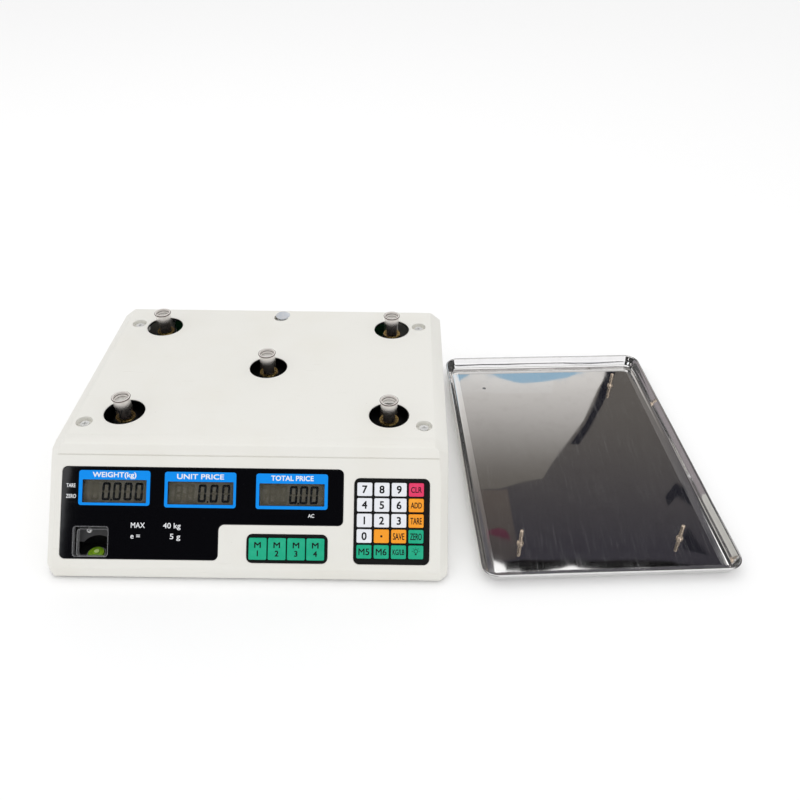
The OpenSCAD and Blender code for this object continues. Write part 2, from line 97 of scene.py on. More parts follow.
class Paint:
    """One procedural material: a principled shader, fed by noise in the object's own coordinates."""

    def __init__(self, name, colour, rough, **values):
        self.material = bpy.data.materials.new(name)
        self.material.use_nodes = True
        self.tree = self.material.node_tree
        self.shader = self.tree.nodes["Principled BSDF"]
        self.colour = (*colour, 1)
        self.place = self.node("ShaderNodeTexCoord").outputs["Object"]
        self.set("Base Color", self.colour)
        self.set("Roughness", rough)
        for socket, value in values.items():
            self.set(socket.replace("_", " "), value)

    def set(self, socket, value):
        self.shader.inputs[socket].default_value = value

    def node(self, kind, **props):
        made = self.tree.nodes.new(kind)
        for key, value in props.items():
            setattr(made, key, value)
        return made

    def link(self, a, b):
        self.tree.links.new(a, b)

    def noise(self, size, detail=3, stretch=(1, 1, 1), distort=0):
        """Noise whose features are about size millimetres, stretched along the axes."""
        mapping = self.node("ShaderNodeMapping")
        mapping.inputs["Scale"].default_value = [1 / (size * MM * s) for s in stretch]
        self.link(self.place, mapping.inputs["Vector"])
        made = self.node("ShaderNodeTexNoise")
        made.inputs["Scale"].default_value = 1
        made.inputs["Detail"].default_value = detail
        made.inputs["Distortion"].default_value = distort
        self.link(mapping.outputs["Vector"], made.inputs["Vector"])
        return made.outputs["Fac"]

    def height(self):
        """The object's own Z, in metres."""
        parts = self.node("ShaderNodeSeparateXYZ")
        self.link(self.place, parts.inputs[0])
        return parts.outputs["Z"]

    def ramp(self, value, low, high, to_low=0.0, to_high=1.0, ease="LINEAR"):
        made = self.node("ShaderNodeMapRange", interpolation_type=ease)
        sockets = ("From Min", "From Max", "To Min", "To Max")
        for socket, number in zip(sockets, (low, high, to_low, to_high)):
            made.inputs[socket].default_value = number
        self.link(value, made.inputs["Value"])
        return made.outputs["Result"]

    def maths(self, operation, a, b):
        made = self.node("ShaderNodeMath", operation=operation, use_clamp=True)
        self.link(a, made.inputs[0])
        self.link(b, made.inputs[1])
        return made.outputs[0]

    def tint(self, value, colour):
        """Mixes a second colour into the base colour where value is high."""
        made = self.node("ShaderNodeMix", data_type="RGBA")
        base = self.shader.inputs["Base Color"]
        if base.is_linked:
            self.link(base.links[0].from_socket, made.inputs["A"])
        else:
            made.inputs["A"].default_value = base.default_value
        made.inputs["B"].default_value = (*colour, 1)
        self.link(value, made.inputs["Factor"])
        self.link(made.outputs["Result"], base)
        return self

    def rough(self, value):
        self.link(value, self.shader.inputs["Roughness"])
        return self

    def bump(self, value, depth):
        """A bump of about depth millimetres, on top of any that is there."""
        made = self.node("ShaderNodeBump")
        made.inputs["Strength"].default_value = 1
        made.inputs["Distance"].default_value = depth * MM
        normal = self.shader.inputs["Normal"]
        if normal.is_linked:
            self.link(normal.links[0].from_socket, made.inputs["Normal"])
        self.link(value, made.inputs["Height"])
        self.link(made.outputs["Normal"], normal)
        return self

    def stain(self, colour, size, detail, low, high, share=1.0, stretch=(1, 1, 1), distort=0):
        """Mixes in a share of a second colour where noise rises from low to high."""
        return self.tint(self.ramp(self.noise(size, detail, stretch, distort), low, high, 0, share), colour)

    def gloss(self, least, most, size, detail, low=0.3, high=0.7, stretch=(1, 1, 1)):
        """Lets the roughness wander between least and most."""
        return self.rough(self.ramp(self.noise(size, detail, stretch), low, high, least, most))

    def grain(self, depth, size, detail=2, stretch=(1, 1, 1)):
        return self.bump(self.noise(size, detail, stretch), depth)


def plastic(name, colour, rough=0.4, grain=0.02, stain=0.05, **values):
    """Moulded plastic: a fine grain, uneven gloss and a faint dirtying."""
    paint = Paint(name, colour, rough, **values)
    darker = [c * (1 - stain) * warmth for c, warmth in zip(colour, (0.99, 0.97, 0.9))]
    paint.stain(darker, 34, 5, 0.42, 0.75)
    paint.stain(darker, 3.5, 2, 0.62, 0.8, 0.6)
    paint.gloss(rough - 0.06, rough + 0.07, 11, 4)
    return paint.grain(grain, 0.55).material


def metal(name, colour, rough=0.3, brushed=(1, 1, 1), depth=0.01, **values):
    """Bare metal, with a brushed or turned grain and uneven polish."""
    paint = Paint(name, colour, rough, **({"Metallic": 1.0} | values))
    paint.stain([c * 0.72 for c in colour], 9, 4, 0.4, 0.8, 0.7)
    paint.gloss(rough * 0.7, rough * 1.35, 1.6, 4, stretch=brushed)
    return paint.grain(depth, 0.8, 3, brushed).material


def housing_plastic():
    """Off-white satin ABS with a fine spark texture, dark specks, scuffs and a warm ageing tint."""
    paint = Paint("housing_plastic", (0.80, 0.79, 0.745), 0.42, Specular_IOR_Level=0.42)
    paint.stain((0.775, 0.755, 0.69), 60, 4, 0.45, 0.72, 0.5)
    paint.stain((0.45, 0.42, 0.36), 1.7, 1, 0.79, 0.83, 0.45)
    paint.stain((0.70, 0.68, 0.63), 5, 3, 0.68, 0.76, 0.35, (6, 0.7, 1), 0.4)
    paint.gloss(0.36, 0.5, 14, 5)
    return paint.grain(0.012, 0.5).grain(0.06, 30).material


def window_acrylic():
    """Polished acrylic, printed black behind, with hairline scratches and dust."""
    paint = Paint("window_acrylic", (0.003, 0.003, 0.004), 0.05, Specular_IOR_Level=0.5)
    paint.stain((0.12, 0.12, 0.13), 1.1, 2, 0.73, 0.78, 0.12)
    hairs = paint.ramp(paint.noise(2.2, 4, (14, 0.35, 1), 0.6), 0.66, 0.7, 0, 0.3)
    paint.rough(paint.ramp(hairs, 0, 1, 0.045, 0.32))
    return paint.grain(0.02, 22).material


def clear_pane(name, alpha, colour=(0.02, 0.022, 0.025)):
    return Paint(name, colour, 0.06, Alpha=alpha).gloss(0.04, 0.14, 6, 3, 0.4, 0.7).material


def lcd_face():
    """Grey-olive display glass with uneven backing and thumbed-on smears."""
    paint = Paint("lcd_face", (0.19, 0.175, 0.13), 0.28)
    paint.stain((0.235, 0.215, 0.16), 16, 3, 0.4, 0.7, 0.8, (1, 2, 1))
    paint.stain((0.14, 0.13, 0.1), 2.4, 2, 0.5, 0.72, 0.4, (0.4, 3, 1))
    return paint.gloss(0.2, 0.36, 7, 3, 0.35, 0.7).material


def ink(name, colour, rough=0.35):
    paint = Paint(name, colour, rough, Specular_IOR_Level=0.06)
    paint.stain([c * 0.86 for c in colour], 1.4, 3, 0.5, 0.8, 0.5)
    return paint.gloss(rough - 0.06, rough + 0.08, 2, 2).material


def keycap_plastic(name, colour, worn):
    """A satin keycap with a fine grain and a finger-worn, paler patch here and there."""
    paint = Paint(name, colour, 0.42, Specular_IOR_Level=0.25)
    paint.stain(worn, 7, 4, 0.48, 0.75, 0.65)
    paint.stain([c * 0.6 for c in colour], 1.0, 2, 0.68, 0.8, 0.25)
    return paint.gloss(0.34, 0.52, 4, 3).grain(0.015, 0.4).material


def sleeve_plastic():
    """Clear soft plastic: cream and milky near its mouth, nearly clear at its foot, with a brownish painted
    shade that darkens it down in the socket.
    """
    paint = Paint("sleeve_plastic", (0.87, 0.83, 0.79), 0.16, Coat_Weight=0.25, IOR=1.4,
                  Specular_IOR_Level=0.3)
    height, top = paint.height(), SLEEVE_TOP * MM
    # Painted shade: the colour darkens towards the foot, where the sleeve stands down in the dark socket.
    paint.tint(paint.ramp(height, top - 0.005, top - 0.012), (0.10, 0.08, 0.07))
    paint.stain((0.55, 0.5, 0.46), 3, 3, 0.5, 0.8, 0.4)
    milk = paint.ramp(height, top - 0.009, top - 0.003, 0.1, 0.8)
    facing = paint.node("ShaderNodeLayerWeight")
    facing.inputs["Blend"].default_value = 0.3
    edge = paint.ramp(facing.outputs["Facing"], 0.45, 0.95, 0.0, 0.35)
    paint.link(paint.maths("ADD", milk, edge), paint.shader.inputs["Alpha"])
    return paint.grain(0.01, 2, 2, (1, 1, 3)).material


def mirror_steel(name, tone, rough, bare, worn):
    """Polished stainless sheet: a mirror with long drawn scratches and a few dull patches."""
    paint = Paint(name, (tone, tone * 0.99, tone * 0.98), rough)
    hairs = paint.ramp(paint.noise(1.3, 3, (0.3, 50, 1), 0.2), 0.62, 0.7)
    smears = paint.ramp(paint.noise(24, 4, (1, 1.6, 1)), 0.5, 0.8)
    paint.rough(paint.maths("MAXIMUM", paint.ramp(hairs, 0, 1, rough * 0.5, rough * 1.8),
                            paint.ramp(smears, 0, 1, rough * 0.5, rough * 1.3)))
    paint.link(paint.ramp(hairs, 0, 1, bare, worn), paint.shader.inputs["Metallic"])
    paint.stain((tone * 0.89, tone * 0.87, tone * 0.86), 15, 3, 0.5, 0.8, 0.4)
    return paint.grain(0.0006, 0.8, 3, (0.5, 26, 1)).material


def circuit_board():
    paint = Paint("circuit_board", (0.012, 0.11, 0.04), 0.35)
    cells = paint.node("ShaderNodeTexVoronoi", feature="DISTANCE_TO_EDGE")
    cells.inputs["Scale"].default_value = 160
    paint.link(paint.place, cells.inputs["Vector"])
    paint.tint(paint.ramp(cells.outputs["Distance"], 0.02, 0.07, 0.9, 0), (0.03, 0.2, 0.07))
    return paint.gloss(0.28, 0.42, 5, 2).bump(cells.outputs["Distance"], 0.05).material


def laminations():
    """A transformer's stacked sheets under varnish."""
    paint = Paint("laminations", (0.10, 0.085, 0.065), 0.45, Metallic=0.5)
    wave = paint.node("ShaderNodeTexWave", bands_direction="Y")
    wave.inputs["Scale"].default_value = 320
    wave.inputs["Distortion"].default_value = 0.4
    paint.link(paint.place, wave.inputs["Vector"])
    paint.tint(paint.ramp(wave.outputs["Fac"], 0.3, 0.8, 0, 0.7), (0.22, 0.19, 0.15))
    return paint.bump(wave.outputs["Fac"], 0.15).material


def liquid_green():
    paint = Paint("liquid_green", (0.30, 0.52, 0.02), 0.12, Coat_Weight=1.0)
    return paint.stain((0.16, 0.36, 0.02), 6, 3, 0.4, 0.7).material


def foil_seal():
    """A silvery paper seal, creased and bluish."""
    paint = Paint("foil_seal", (0.72, 0.77, 0.84), 0.22, Metallic=0.35, Coat_Weight=0.5)
    return paint.stain((0.84, 0.85, 0.88), 3, 4, 0.4, 0.65).grain(0.12, 2.5, 3).material


HOUSING = housing_plastic()
TRAY = plastic("tray_plastic", (0.70, 0.69, 0.65), 0.5, 0.03)
BLACK = plastic("black_plastic", (0.012, 0.012, 0.013), 0.42, 0.03, 0.2)
CARRIER_BLACK = plastic("carrier_nylon", (0.008, 0.008, 0.009), 0.55, 0.05, 0.3)
FRAME_BLACK = plastic("keypad_rubber", (0.006, 0.006, 0.006), 0.5, 0.04, 0.25, Specular_IOR_Level=0.15)
RUBBER = plastic("foot_rubber", (0.02, 0.02, 0.021), 0.75, 0.06, 0.3)
BATTERY = plastic("battery_case", (0.03, 0.03, 0.035), 0.4, 0.03, 0.2)
ROCKER = plastic("rocker_red", (0.42, 0.012, 0.012), 0.28, 0.01, 0.15)
ZINC = metal("zinc_plate", (0.55, 0.56, 0.57), 0.36, (1, 8, 1), 0.02)
ALLOY = metal("milled_alloy", (0.72, 0.73, 0.74), 0.32, (10, 1, 1), 0.02)
BOLT = metal("black_oxide", (0.10, 0.10, 0.105), 0.4)
SCREW = metal("screw_zinc", (0.78, 0.78, 0.77), 0.4, Metallic=0.25)
BRASS = metal("turned_brass", (0.62, 0.43, 0.16), 0.27, (1, 1, 9))
STUD = metal("nickelled_brass", (0.84, 0.69, 0.55), 0.27, (1, 1, 6), 0.008, Metallic=0.75)
STEEL = mirror_steel("mirror_steel", 0.62, 0.045, 0.985, 0.86)
# Painted light: the rim is the same sheet as the floor, but its copy of the steel is paler and partly
# diffuse, a painted reflection of the white floor.
RIM_STEEL_PAINTED_SHEEN = mirror_steel("rim_steel_painted_sheen", 0.84, 0.09, 0.93, 0.8)
ACRYLIC = window_acrylic()
PANE = clear_pane("lcd_pane", 0.16)
EDGE = clear_pane("level_pane", 0.6, (0.3, 0.3, 0.31))
LCD = lcd_face()
LCD_INK = ink("lcd_segments", (0.008, 0.009, 0.012), 0.3)
LCD_GHOST = ink("lcd_idle_segments", (0.165, 0.15, 0.112), 0.3)
BLUE = ink("print_blue", (0.004, 0.27, 0.86))
WHITE = ink("print_white", (0.82, 0.83, 0.85))
LEGEND = ink("legend_black", (0.012, 0.012, 0.014))
BOARD = circuit_board()
LAMINATIONS = laminations()
GREEN_LIQUID = liquid_green()
SEAL = foil_seal()
KEY_WHITE = keycap_plastic("key_white", (0.80, 0.815, 0.86), (0.88, 0.89, 0.91))
KEY_GREEN = keycap_plastic("key_green", (0.0, 0.40, 0.22), (0.02, 0.47, 0.27))
KEY_ORANGE = keycap_plastic("key_orange", (0.93, 0.33, 0.008), (0.95, 0.40, 0.03))
KEY_PINK = keycap_plastic("key_pink", (0.78, 0.035, 0.13), (0.84, 0.07, 0.18))
SLEEVE = sleeve_plastic()
SLEEVE_RING = clear_pane("sleeve_ring", 0.85, (0.10, 0.07, 0.065))
PALE_BUBBLE = ink("bubble_glint", (0.55, 0.72, 0.25), 0.2)
BOARD_GREY = plastic("level_plate_grey", (0.05, 0.05, 0.052), 0.4)


# ---------- mesh building ----------

def rounded_outline(corners, steps=6):
    """The outline through corners (x, y, radius), run anticlockwise, with every corner an arc."""
    points = []
    for i, (x, y, r) in enumerate(corners):
        at = Vector((x, y))
        to_last = (Vector(corners[i - 1][:2]) - at).normalized()
        to_next = (Vector(corners[(i + 1) % len(corners)][:2]) - at).normalized()
        half = to_last.angle(to_next) / 2
        start = at + to_last * r / math.tan(half)
        centre = at + (to_last + to_next).normalized() * r / math.sin(half)
        sweep = math.pi - 2 * half
        if to_last.cross(to_next) > 0:
            sweep = -sweep
        for k in range(steps + 1):
            points.append(centre + Matrix.Rotation(sweep * k / steps, 2) @ (start - centre))
    return points


def rounded_rect(w, h, r, steps=6):
    """A rectangle about the middle, with every corner an arc."""
    x, y = w / 2, h / 2
    return rounded_outline([(-x, -y, r), (x, -y, r), (x, y, r), (-x, y, r)], steps)


def ring_at(outline, z):
    return [Vector((p[0], p[1], z)) for p in outline]


def circle(radius, z=0, count=48):
    return [Vector((radius * math.cos(t), radius * math.sin(t), z))
            for t in (2 * math.pi * k / count for k in range(count))]


class Mesh:
    """Faces in millimetres, each with a material, that become one piece."""

    def __init__(self):
        self.verts, self.faces, self.slots = [], [], []
        self.materials = []

    def add(self, verts, faces, material, at=Matrix()):
        if material not in self.materials:
            self.materials.append(material)
        base = len(self.verts)
        self.verts += [at @ Vector(v) for v in verts]
        self.faces += [[base + i for i in face] for face in faces]
        self.slots += [self.materials.index(material)] * len(faces)
        return self

    def loft(self, rings, material, at=Matrix(), caps=True, closed=False):
        """Skins between rings that run the same way round; closed joins the last ring to the first."""
        n = len(rings[0])
        verts = [v for ring in rings for v in ring]
        faces = []
        spans = len(rings) if closed else len(rings) - 1
        for i in range(spans):
            a, b = i * n, (i + 1) % len(rings) * n
            faces += [[a + k, a + (k + 1) % n, b + (k + 1) % n, b + k] for k in range(n)]
        if caps and not closed:
            faces.append(list(range(n))[::-1])
            faces.append([len(verts) - n + k for k in range(n)])
        return self.add(verts, faces, material, at)

    def lathe(self, profile, material, at=Matrix(), count=48, closed=False):
        """Turns a profile of (radius, z) about Z; closed is for a profile that meets itself."""
        return self.loft([circle(r, z, count) for r, z in profile], material, at, True, closed)

    def slab(self, w, h, r, low, high, edge, material, at):
        """A rounded rectangle whose upper rim is rounded too."""
        return self.loft(slab_rings(rect_outline(w, h, r), low, high, edge), material, at)

    def plate(self, outline, low, high, material, at=Matrix()):
        """A straight-sided slab with a flat outline."""
        return self.loft([ring_at(outline, low), ring_at(outline, high)], material, at)

    def object(self, name, sharp=35):
        bm = bmesh.new()
        made = [bm.verts.new(v) for v in self.verts]
        for face, slot in zip(self.faces, self.slots):
            bm.faces.new([made[i] for i in face]).material_index = slot
        return bmesh_object(bm, name, self.materials, sharp)

    def piece(self, name, body, slot, *nodes, sharp=35):
        """The finished piece, riding on a body and standing for the CAD nodes."""
        made = self.object(name, sharp)
        weigh_normals(made)
        return settle(made, body, slot, *nodes)


def mark_sharp(bm, degrees):
    """Shades everything smooth, but for the edges that turn by more than the degrees."""
    for face in bm.faces:
        face.smooth = True
    for edge in bm.edges:
        edge.smooth = not (edge.is_manifold and edge.calc_face_angle(0) > math.radians(degrees))


def bmesh_object(bm, name, materials=(), sharp=30):
    """An object from a bmesh in millimetres, which is used up."""
    for v in bm.verts:
        v.co *= MM
    bmesh.ops.recalc_face_normals(bm, faces=bm.faces)
    mark_sharp(bm, sharp)
    data = bpy.data.meshes.new(name)
    bm.to_mesh(data)
    bm.free()
    for material in materials:
        data.materials.append(material)
    return put(name, data)


def weigh_normals(made):
    shade = made.modifiers.new("shade", "WEIGHTED_NORMAL")
    shade.keep_sharp = True
    shade.weight = 80


def settle(made, body, slot, *nodes):
    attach(made, body)
    if nodes:
        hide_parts(*nodes)
    return made


def edge_steps(radius, count=4):
    """(inset, drop) pairs that round an edge, from the side wall to the flat."""
    return [(radius * (1 - math.cos(t)), radius * (1 - math.sin(t)))
            for t in (math.pi / 2 * k / count for k in range(count + 1))]


def slab_rings(outline, low, high, edge):
    """Rings of a plate with a rounded upper rim. outline(g) is its outline grown by g."""
    rim = [ring_at(outline(-inset), high - drop) for inset, drop in edge_steps(edge)]
    return [ring_at(outline(0), low)] + rim


LETTER_CACHE = {}


def letters(text, height, width=None, bold=0.0):
    """The mesh of a line of plain lettering, centred, with capitals height tall and scaled to width."""
    def outline(words):
        curve = bpy.data.curves.new("letters", "FONT")
        curve.body = words
        curve.extrude = 0.5
        curve.resolution_u = 4
        maker = put("letters", curve)
        bpy.context.view_layer.update()
        data = bpy.data.meshes.new_from_object(maker.evaluated_get(bpy.context.evaluated_depsgraph_get()))
        verts = [v.co.copy() for v in data.vertices]
        faces = [list(p.vertices) for p in data.polygons]
        bpy.data.objects.remove(maker)
        bpy.data.curves.remove(curve)
        bpy.data.meshes.remove(data)
        return verts, faces

    if "H" not in LETTER_CACHE:
        tall, _ = outline("H")
        LETTER_CACHE["H"] = (min(v.y for v in tall), max(v.y for v in tall))
    foot, head = LETTER_CACHE["H"]
    verts, faces = outline(text)
    left, right = min(v.x for v in verts), max(v.x for v in verts)
    scale = (height - 2 * bold) / (head - foot)
    across = (width - 2 * bold) / (right - left) if width else scale
    strikes = [(-1, -1), (1, -1), (1, 1), (-1, 1)] if bold else [(0, 0)]
    points, sides = [], []
    for k, (dx, dy) in enumerate(strikes):
        thick = 0.03 + 0.002 * k
        sides += [[i + len(points) for i in face] for face in faces]
        points += [Vector(((v.x - (left + right) / 2) * across + dx * bold,
                           (v.y - (foot + head) / 2) * scale + dy * bold, (v.z + 0.5) * thick))
                   for v in verts]
    return points, sides


def write(mesh, text, at, height, material, width=None, bold=0.0):
    """Lettering on a face: bold is how far each stroke is thickened, in millimetres."""
    mesh.add(*letters(text, height, width, bold), material, at)


# ---------- the seven-segment digits ----------

SEGMENTS = {"a": (0, 1, 0), "g": (0, 0, 0), "d": (0, -1, 0),
            "f": (-1, 0.5, 1), "b": (1, 0.5, 1), "e": (-1, -0.5, 1), "c": (1, -0.5, 1)}
NOUGHT = "abcdef"
DIGITS = 6
PRINT = 0.04  # how far segments stand off the glass
LCD_FACE, LCD_BACK, BEZEL_BACK = -4.6, -5.7, -7.4
READINGS = (4, 3, 3)  # how many digits of each display are lit


def segment(mesh, x, y, upright, size, bar, material, at):
    """One bar with pointed ends."""
    length = (size[1] / 2 if upright else size[0]) / 2 - 0.16
    half = bar / 2
    points = [(-length, 0), (half - length, -half), (length - half, -half), (length, 0),
              (length - half, half), (half - length, half)]
    if upright:
        points = [(-b, a) for a, b in points]
    lean = 0.05
    mesh.plate([(x + a + (y + b) * lean, y + b) for a, b in points], 0, PRINT, material, at)


def digit(mesh, at, size, bar, lit):
    for name, (sx, sy, upright) in SEGMENTS.items():
        x = sx * (size[0] - bar) / 2
        y = sy * (size[1] - bar) / 2
        segment(mesh, x, y, upright, size, bar, LCD_INK if name in lit else LCD_GHOST, at)


def readout(mesh, at, reading, last, pitch, size, bar, point, drop, least=-HALF_W):
    """A row of digits ending at last: idle ones, then noughts, with a point after the first of them."""
    for k in range(DIGITS):
        x = last - (DIGITS - 1 - k) * pitch
        if x > least:
            digit(mesh, at @ shift(x), size, bar, NOUGHT if k >= DIGITS - reading else "")
        if k == DIGITS - reading:
            mesh.plate(point, 0, PRINT, LCD_INK, at @ shift(x + pitch / 2 - drop[0], -drop[1]))


# ---------- the top cover ----------

PANEL_TOP = Vector((0, PANEL_LEN * math.cos(PANEL_SLOPE) - HALF_D,
                    PANEL_LEN * math.sin(PANEL_SLOPE) + LIP_Z))
NOSE = Vector((0, PANEL_TOP.y + 6.7, DECK_Z - 1.4))
DECK_FRONT = Vector((0, NOSE.y + 11, DECK_Z))
DECK_REAR = Vector((0, HALF_D - 9.5, DECK_Z))
REAR_TOP = Vector((0, HALF_D, DECK_Z - 8))
LIP = Vector((0, -HALF_D, LIP_Z))
PROFILE = [LIP, PANEL_TOP, NOSE, DECK_FRONT, DECK_REAR, REAR_TOP]
# Each side bevel: the profile's edge, its crease from the middle, and its drop at the full width
BEVELS = [(4, HALF_W - 10, 7), (3, HALF_W - 11.5, 8), (2, HALF_W - 11.5, 8),
          (1, HALF_W - 8.5, 7), (0, HALF_W - 7, 6.5)]
CORNER_CUT = 6.4


def cover_planes(inset):
    """The cover's outer faces as (point, outward normal), moved inwards by inset."""
    def outward(a, b):
        return Vector((0, a.z - b.z, b.y - a.y)).normalized()

    planes = [(Vector((0, side * HALF_D, 0)), Vector((0, side, 0))) for side in (-1, 1)]
    planes += [(Vector((side * HALF_W, 0, 0)), Vector((side, 0, 0))) for side in (-1, 1)]
    planes += [(a, outward(a, b)) for a, b in zip(PROFILE, PROFILE[1:])]
    for i, crease, drop in BEVELS:
        a, out = PROFILE[i], outward(*PROFILE[i:i + 2])
        tilt = math.atan2(drop, HALF_W - crease)
        for side in (-1, 1):
            normal = out * math.cos(tilt) + Vector((side * math.sin(tilt), 0, 0))
            planes.append((a + Vector((side * crease, 0, 0)), normal))
    for x in (-1, 1):
        for y in (-1, 1):
            normal = Vector((x, y, 0)).normalized()
            planes.append((Vector((x * (HALF_W - CORNER_CUT), y * HALF_D, 0)), normal))
    return [(point - normal * inset, normal) for point, normal in planes]


def convex(planes, low, high):
    """The solid inside all the planes, as a bmesh in millimetres."""
    bm = bmesh.new()
    bmesh.ops.create_cube(bm, size=1)
    for v in bm.verts:
        v.co = Vector((v.co.x * 800, v.co.y * 800, low if v.co.z < 0 else high))
    for point, normal in planes:
        geometry = bm.verts[:] + bm.edges[:] + bm.faces[:]
        bmesh.ops.bisect_plane(bm, geom=geometry, plane_co=point, plane_no=normal, clear_outer=True)
        bmesh.ops.holes_fill(bm, edges=[e for e in bm.edges if e.is_boundary])
    bmesh.ops.dissolve_limit(bm, angle_limit=0.002, verts=bm.verts, edges=bm.edges)
    return bm


def flared_cutter(mesh, outline, depth, lip, at, above=4.0):
    """A cutter whose mouth opens out, so that the edge it leaves is rounded."""
    rings = [ring_at(outline(0), -depth)]
    rings += [ring_at(outline(inset), -drop) for inset, drop in edge_steps(lip)]
    mesh.loft(rings + [ring_at(outline(lip), above)], HOUSING, at)


def round_outline(radius, count=72):
    return lambda g: [Vector((p.x, p.y)) for p in circle(radius + g, 0, count)]


WIN = dict(left=-159.2, step=-24.3, right=82, low=7.4, mid=37.8, top=85.8, r=4.5)
LCD_U = [-114.2, -40.4, 37.8]
LCD_V = 64.2
LEVEL_AT = (-133.3, 22)
PAD_SIZE, PAD_AT = (64.4, 72.7), (123.5, 42.25)
MEMORY_SIZE, MEMORY_AT = (68.8, 24.2), (34.6, 18)


def window_outline(g):
    w, r = WIN, WIN["r"] + g
    return rounded_outline([
        (w["left"] - g, w["low"] - g, r), (w["step"] + g, w["low"] - g, r),
        (w["step"] + g, w["mid"] - g, 5 - g / 2), (w["right"] + g, w["mid"] - g, r),
        (w["right"] + g, w["top"] + g, r), (w["left"] - g, w["top"] + g, r)])


def rect_outline(w, h, r):
    return lambda g: rounded_rect(w + 2 * g, h + 2 * g, max(r + g, 0.2))


def combine(target, tools, operation):
    """Cuts the tools from the target, or joins them to it, and removes them."""
    for tool in tools:
        step = target.modifiers.new("step", "BOOLEAN")
        step.operation = operation
        step.solver = "MANIFOLD"
        step.object = tool
    bpy.context.view_layer.update()
    data = bpy.data.meshes.new_from_object(target.evaluated_get(bpy.context.evaluated_depsgraph_get()))
    target.modifiers.clear()
    target.data = data
    for tool in tools:
        bpy.data.objects.remove(tool)


def cut(target, *meshes):
    combine(target, [mesh.object("cutter") for mesh in meshes], "DIFFERENCE")


def join(target, mesh):
    combine(target, [mesh.object("added")], "UNION")


def finish_cut(made, name, materials, body, slot, *nodes):
    """Names a piece made by cutting, and gives it its materials and smooth shading."""
    made.name = name
    made.data.materials.clear()
    for material in materials:
        made.data.materials.append(material)
    bm = bmesh.new()
    bm.from_mesh(made.data)
    bmesh.ops.remove_doubles(bm, verts=bm.verts, dist=1e-6)
    bmesh.ops.dissolve_degenerate(bm, edges=bm.edges, dist=1e-6)
    mark_sharp(bm, 30)
    bm.to_mesh(made.data)
    bm.free()
    weigh_normals(made)
    return settle(made, body, slot, *nodes)


def top_cover():
    """The housing: a bevelled shell with its recesses and openings, and painted shade inside the sockets,
    whose walls take the black material.
    """
    shell = convex(cover_planes(0), FOOT_GAP, 200)
    creases = [e for e in shell.edges if min(v.co.z for v in e.verts) > FOOT_GAP + 0.5
               or abs(e.verts[0].co.z - e.verts[1].co.z) > 3]
    bmesh.ops.bevel(shell, geom=creases, offset=1.5, segments=4, profile=0.5, affect="EDGES",
                    clamp_overlap=True)
    cover = bmesh_object(shell, "top_cover_shell")
    combine(cover, [bmesh_object(convex(cover_planes(WALL), -20, 200), "cavity")], "DIFFERENCE")
    cups, mouths, wells, pilots, groove = Mesh(), Mesh(), Mesh(), Mesh(), Mesh()
    for x, y in POSTS:
        at = shift(x, y, DECK_Z)
        cups.plate(circle(RECESS_R + WALL), -RECESS_DEPTH - WALL, -0.5, HOUSING, at)
        flared_cutter(wells, round_outline(RECESS_R, 56), RECESS_DEPTH, 0.6, at)
        pilots.plate(circle(2.2, 0, 24), -20, 1, HOUSING, at)
    for x, y in SOCKETS:
        flared_cutter(mouths, round_outline(HOLE_R), 12, 0.7, shift(x, y, DECK_Z))
    flared_cutter(mouths, lambda g: window_outline(g + 0.15), WALL + 2, 0.5, on_panel())
    for size, at in ((PAD_SIZE, PAD_AT), (MEMORY_SIZE, MEMORY_AT)):
        flared_cutter(mouths, rect_outline(size[0] + 0.3, size[1] + 0.3, 5), 12, 0.5, on_panel(*at))
    v, width, depth = GROOVE
    trough = [(v - 0.5, 3), (v, 0.1), (v + 0.25, -depth), (v + width - 0.25, -depth), (v + width, 0.1),
              (v + width + 0.5, 3)]
    groove.loft([[Vector((x, *p)) for p in trough] for x in (-HALF_W - 2, HALF_W + 2)], HOUSING, on_panel())
    join(cover, cups)
    cut(cover, mouths, groove, wells, pilots, *rear_cutters())
    finish_cut(cover, "top_cover_moulding", [HOUSING, BLACK], "base", "housing", "top_cover")
    # Painted shade: the white housing's faces down inside the sockets take the black material, so that the
    # holes read dark.
    for face in cover.data.polygons:
        at = face.center / MM
        inside = any((at.xy - Vector(spot)).length < HOLE_R + 0.3 for spot in SOCKETS)
        face.material_index = int(inside and at.z < DECK_Z - 0.7)


REAR_WIN, REAR_WIN_Z = (250, 30), 65
INLET_AT, INLET_HOLE = (110, 28), (47.4, 22.4)
REAR_LCD_SHIFT = 38  # how far the rear displays sit to one side of the front ones' places
REAR = shift(0, HALF_D) @ turn(180) @ turn(90, "X")


def on_rear(x, z, w=0):
    """A place on the rear wall, seen from behind: x is the frame's own X."""
    return REAR @ shift(-x, z, w)


def rear_cutters():
    """The rear window's seat, and the openings right through: they overlap, so they are two meshes."""
    seat, through = Mesh(), Mesh()
    w, h = REAR_WIN
    at = on_rear(0, REAR_WIN_Z)
    flared_cutter(seat, rect_outline(w + 0.3, h + 0.3, 4), WALL, 0.4, at)
    flared_cutter(through, rect_outline(w - 8, h - 7, 2), 14, 0.1, at)
    flared_cutter(through, rect_outline(*INLET_HOLE, 1), 12, 0.2, on_rear(*INLET_AT))
    return seat, through


# ---------- the display window ----------

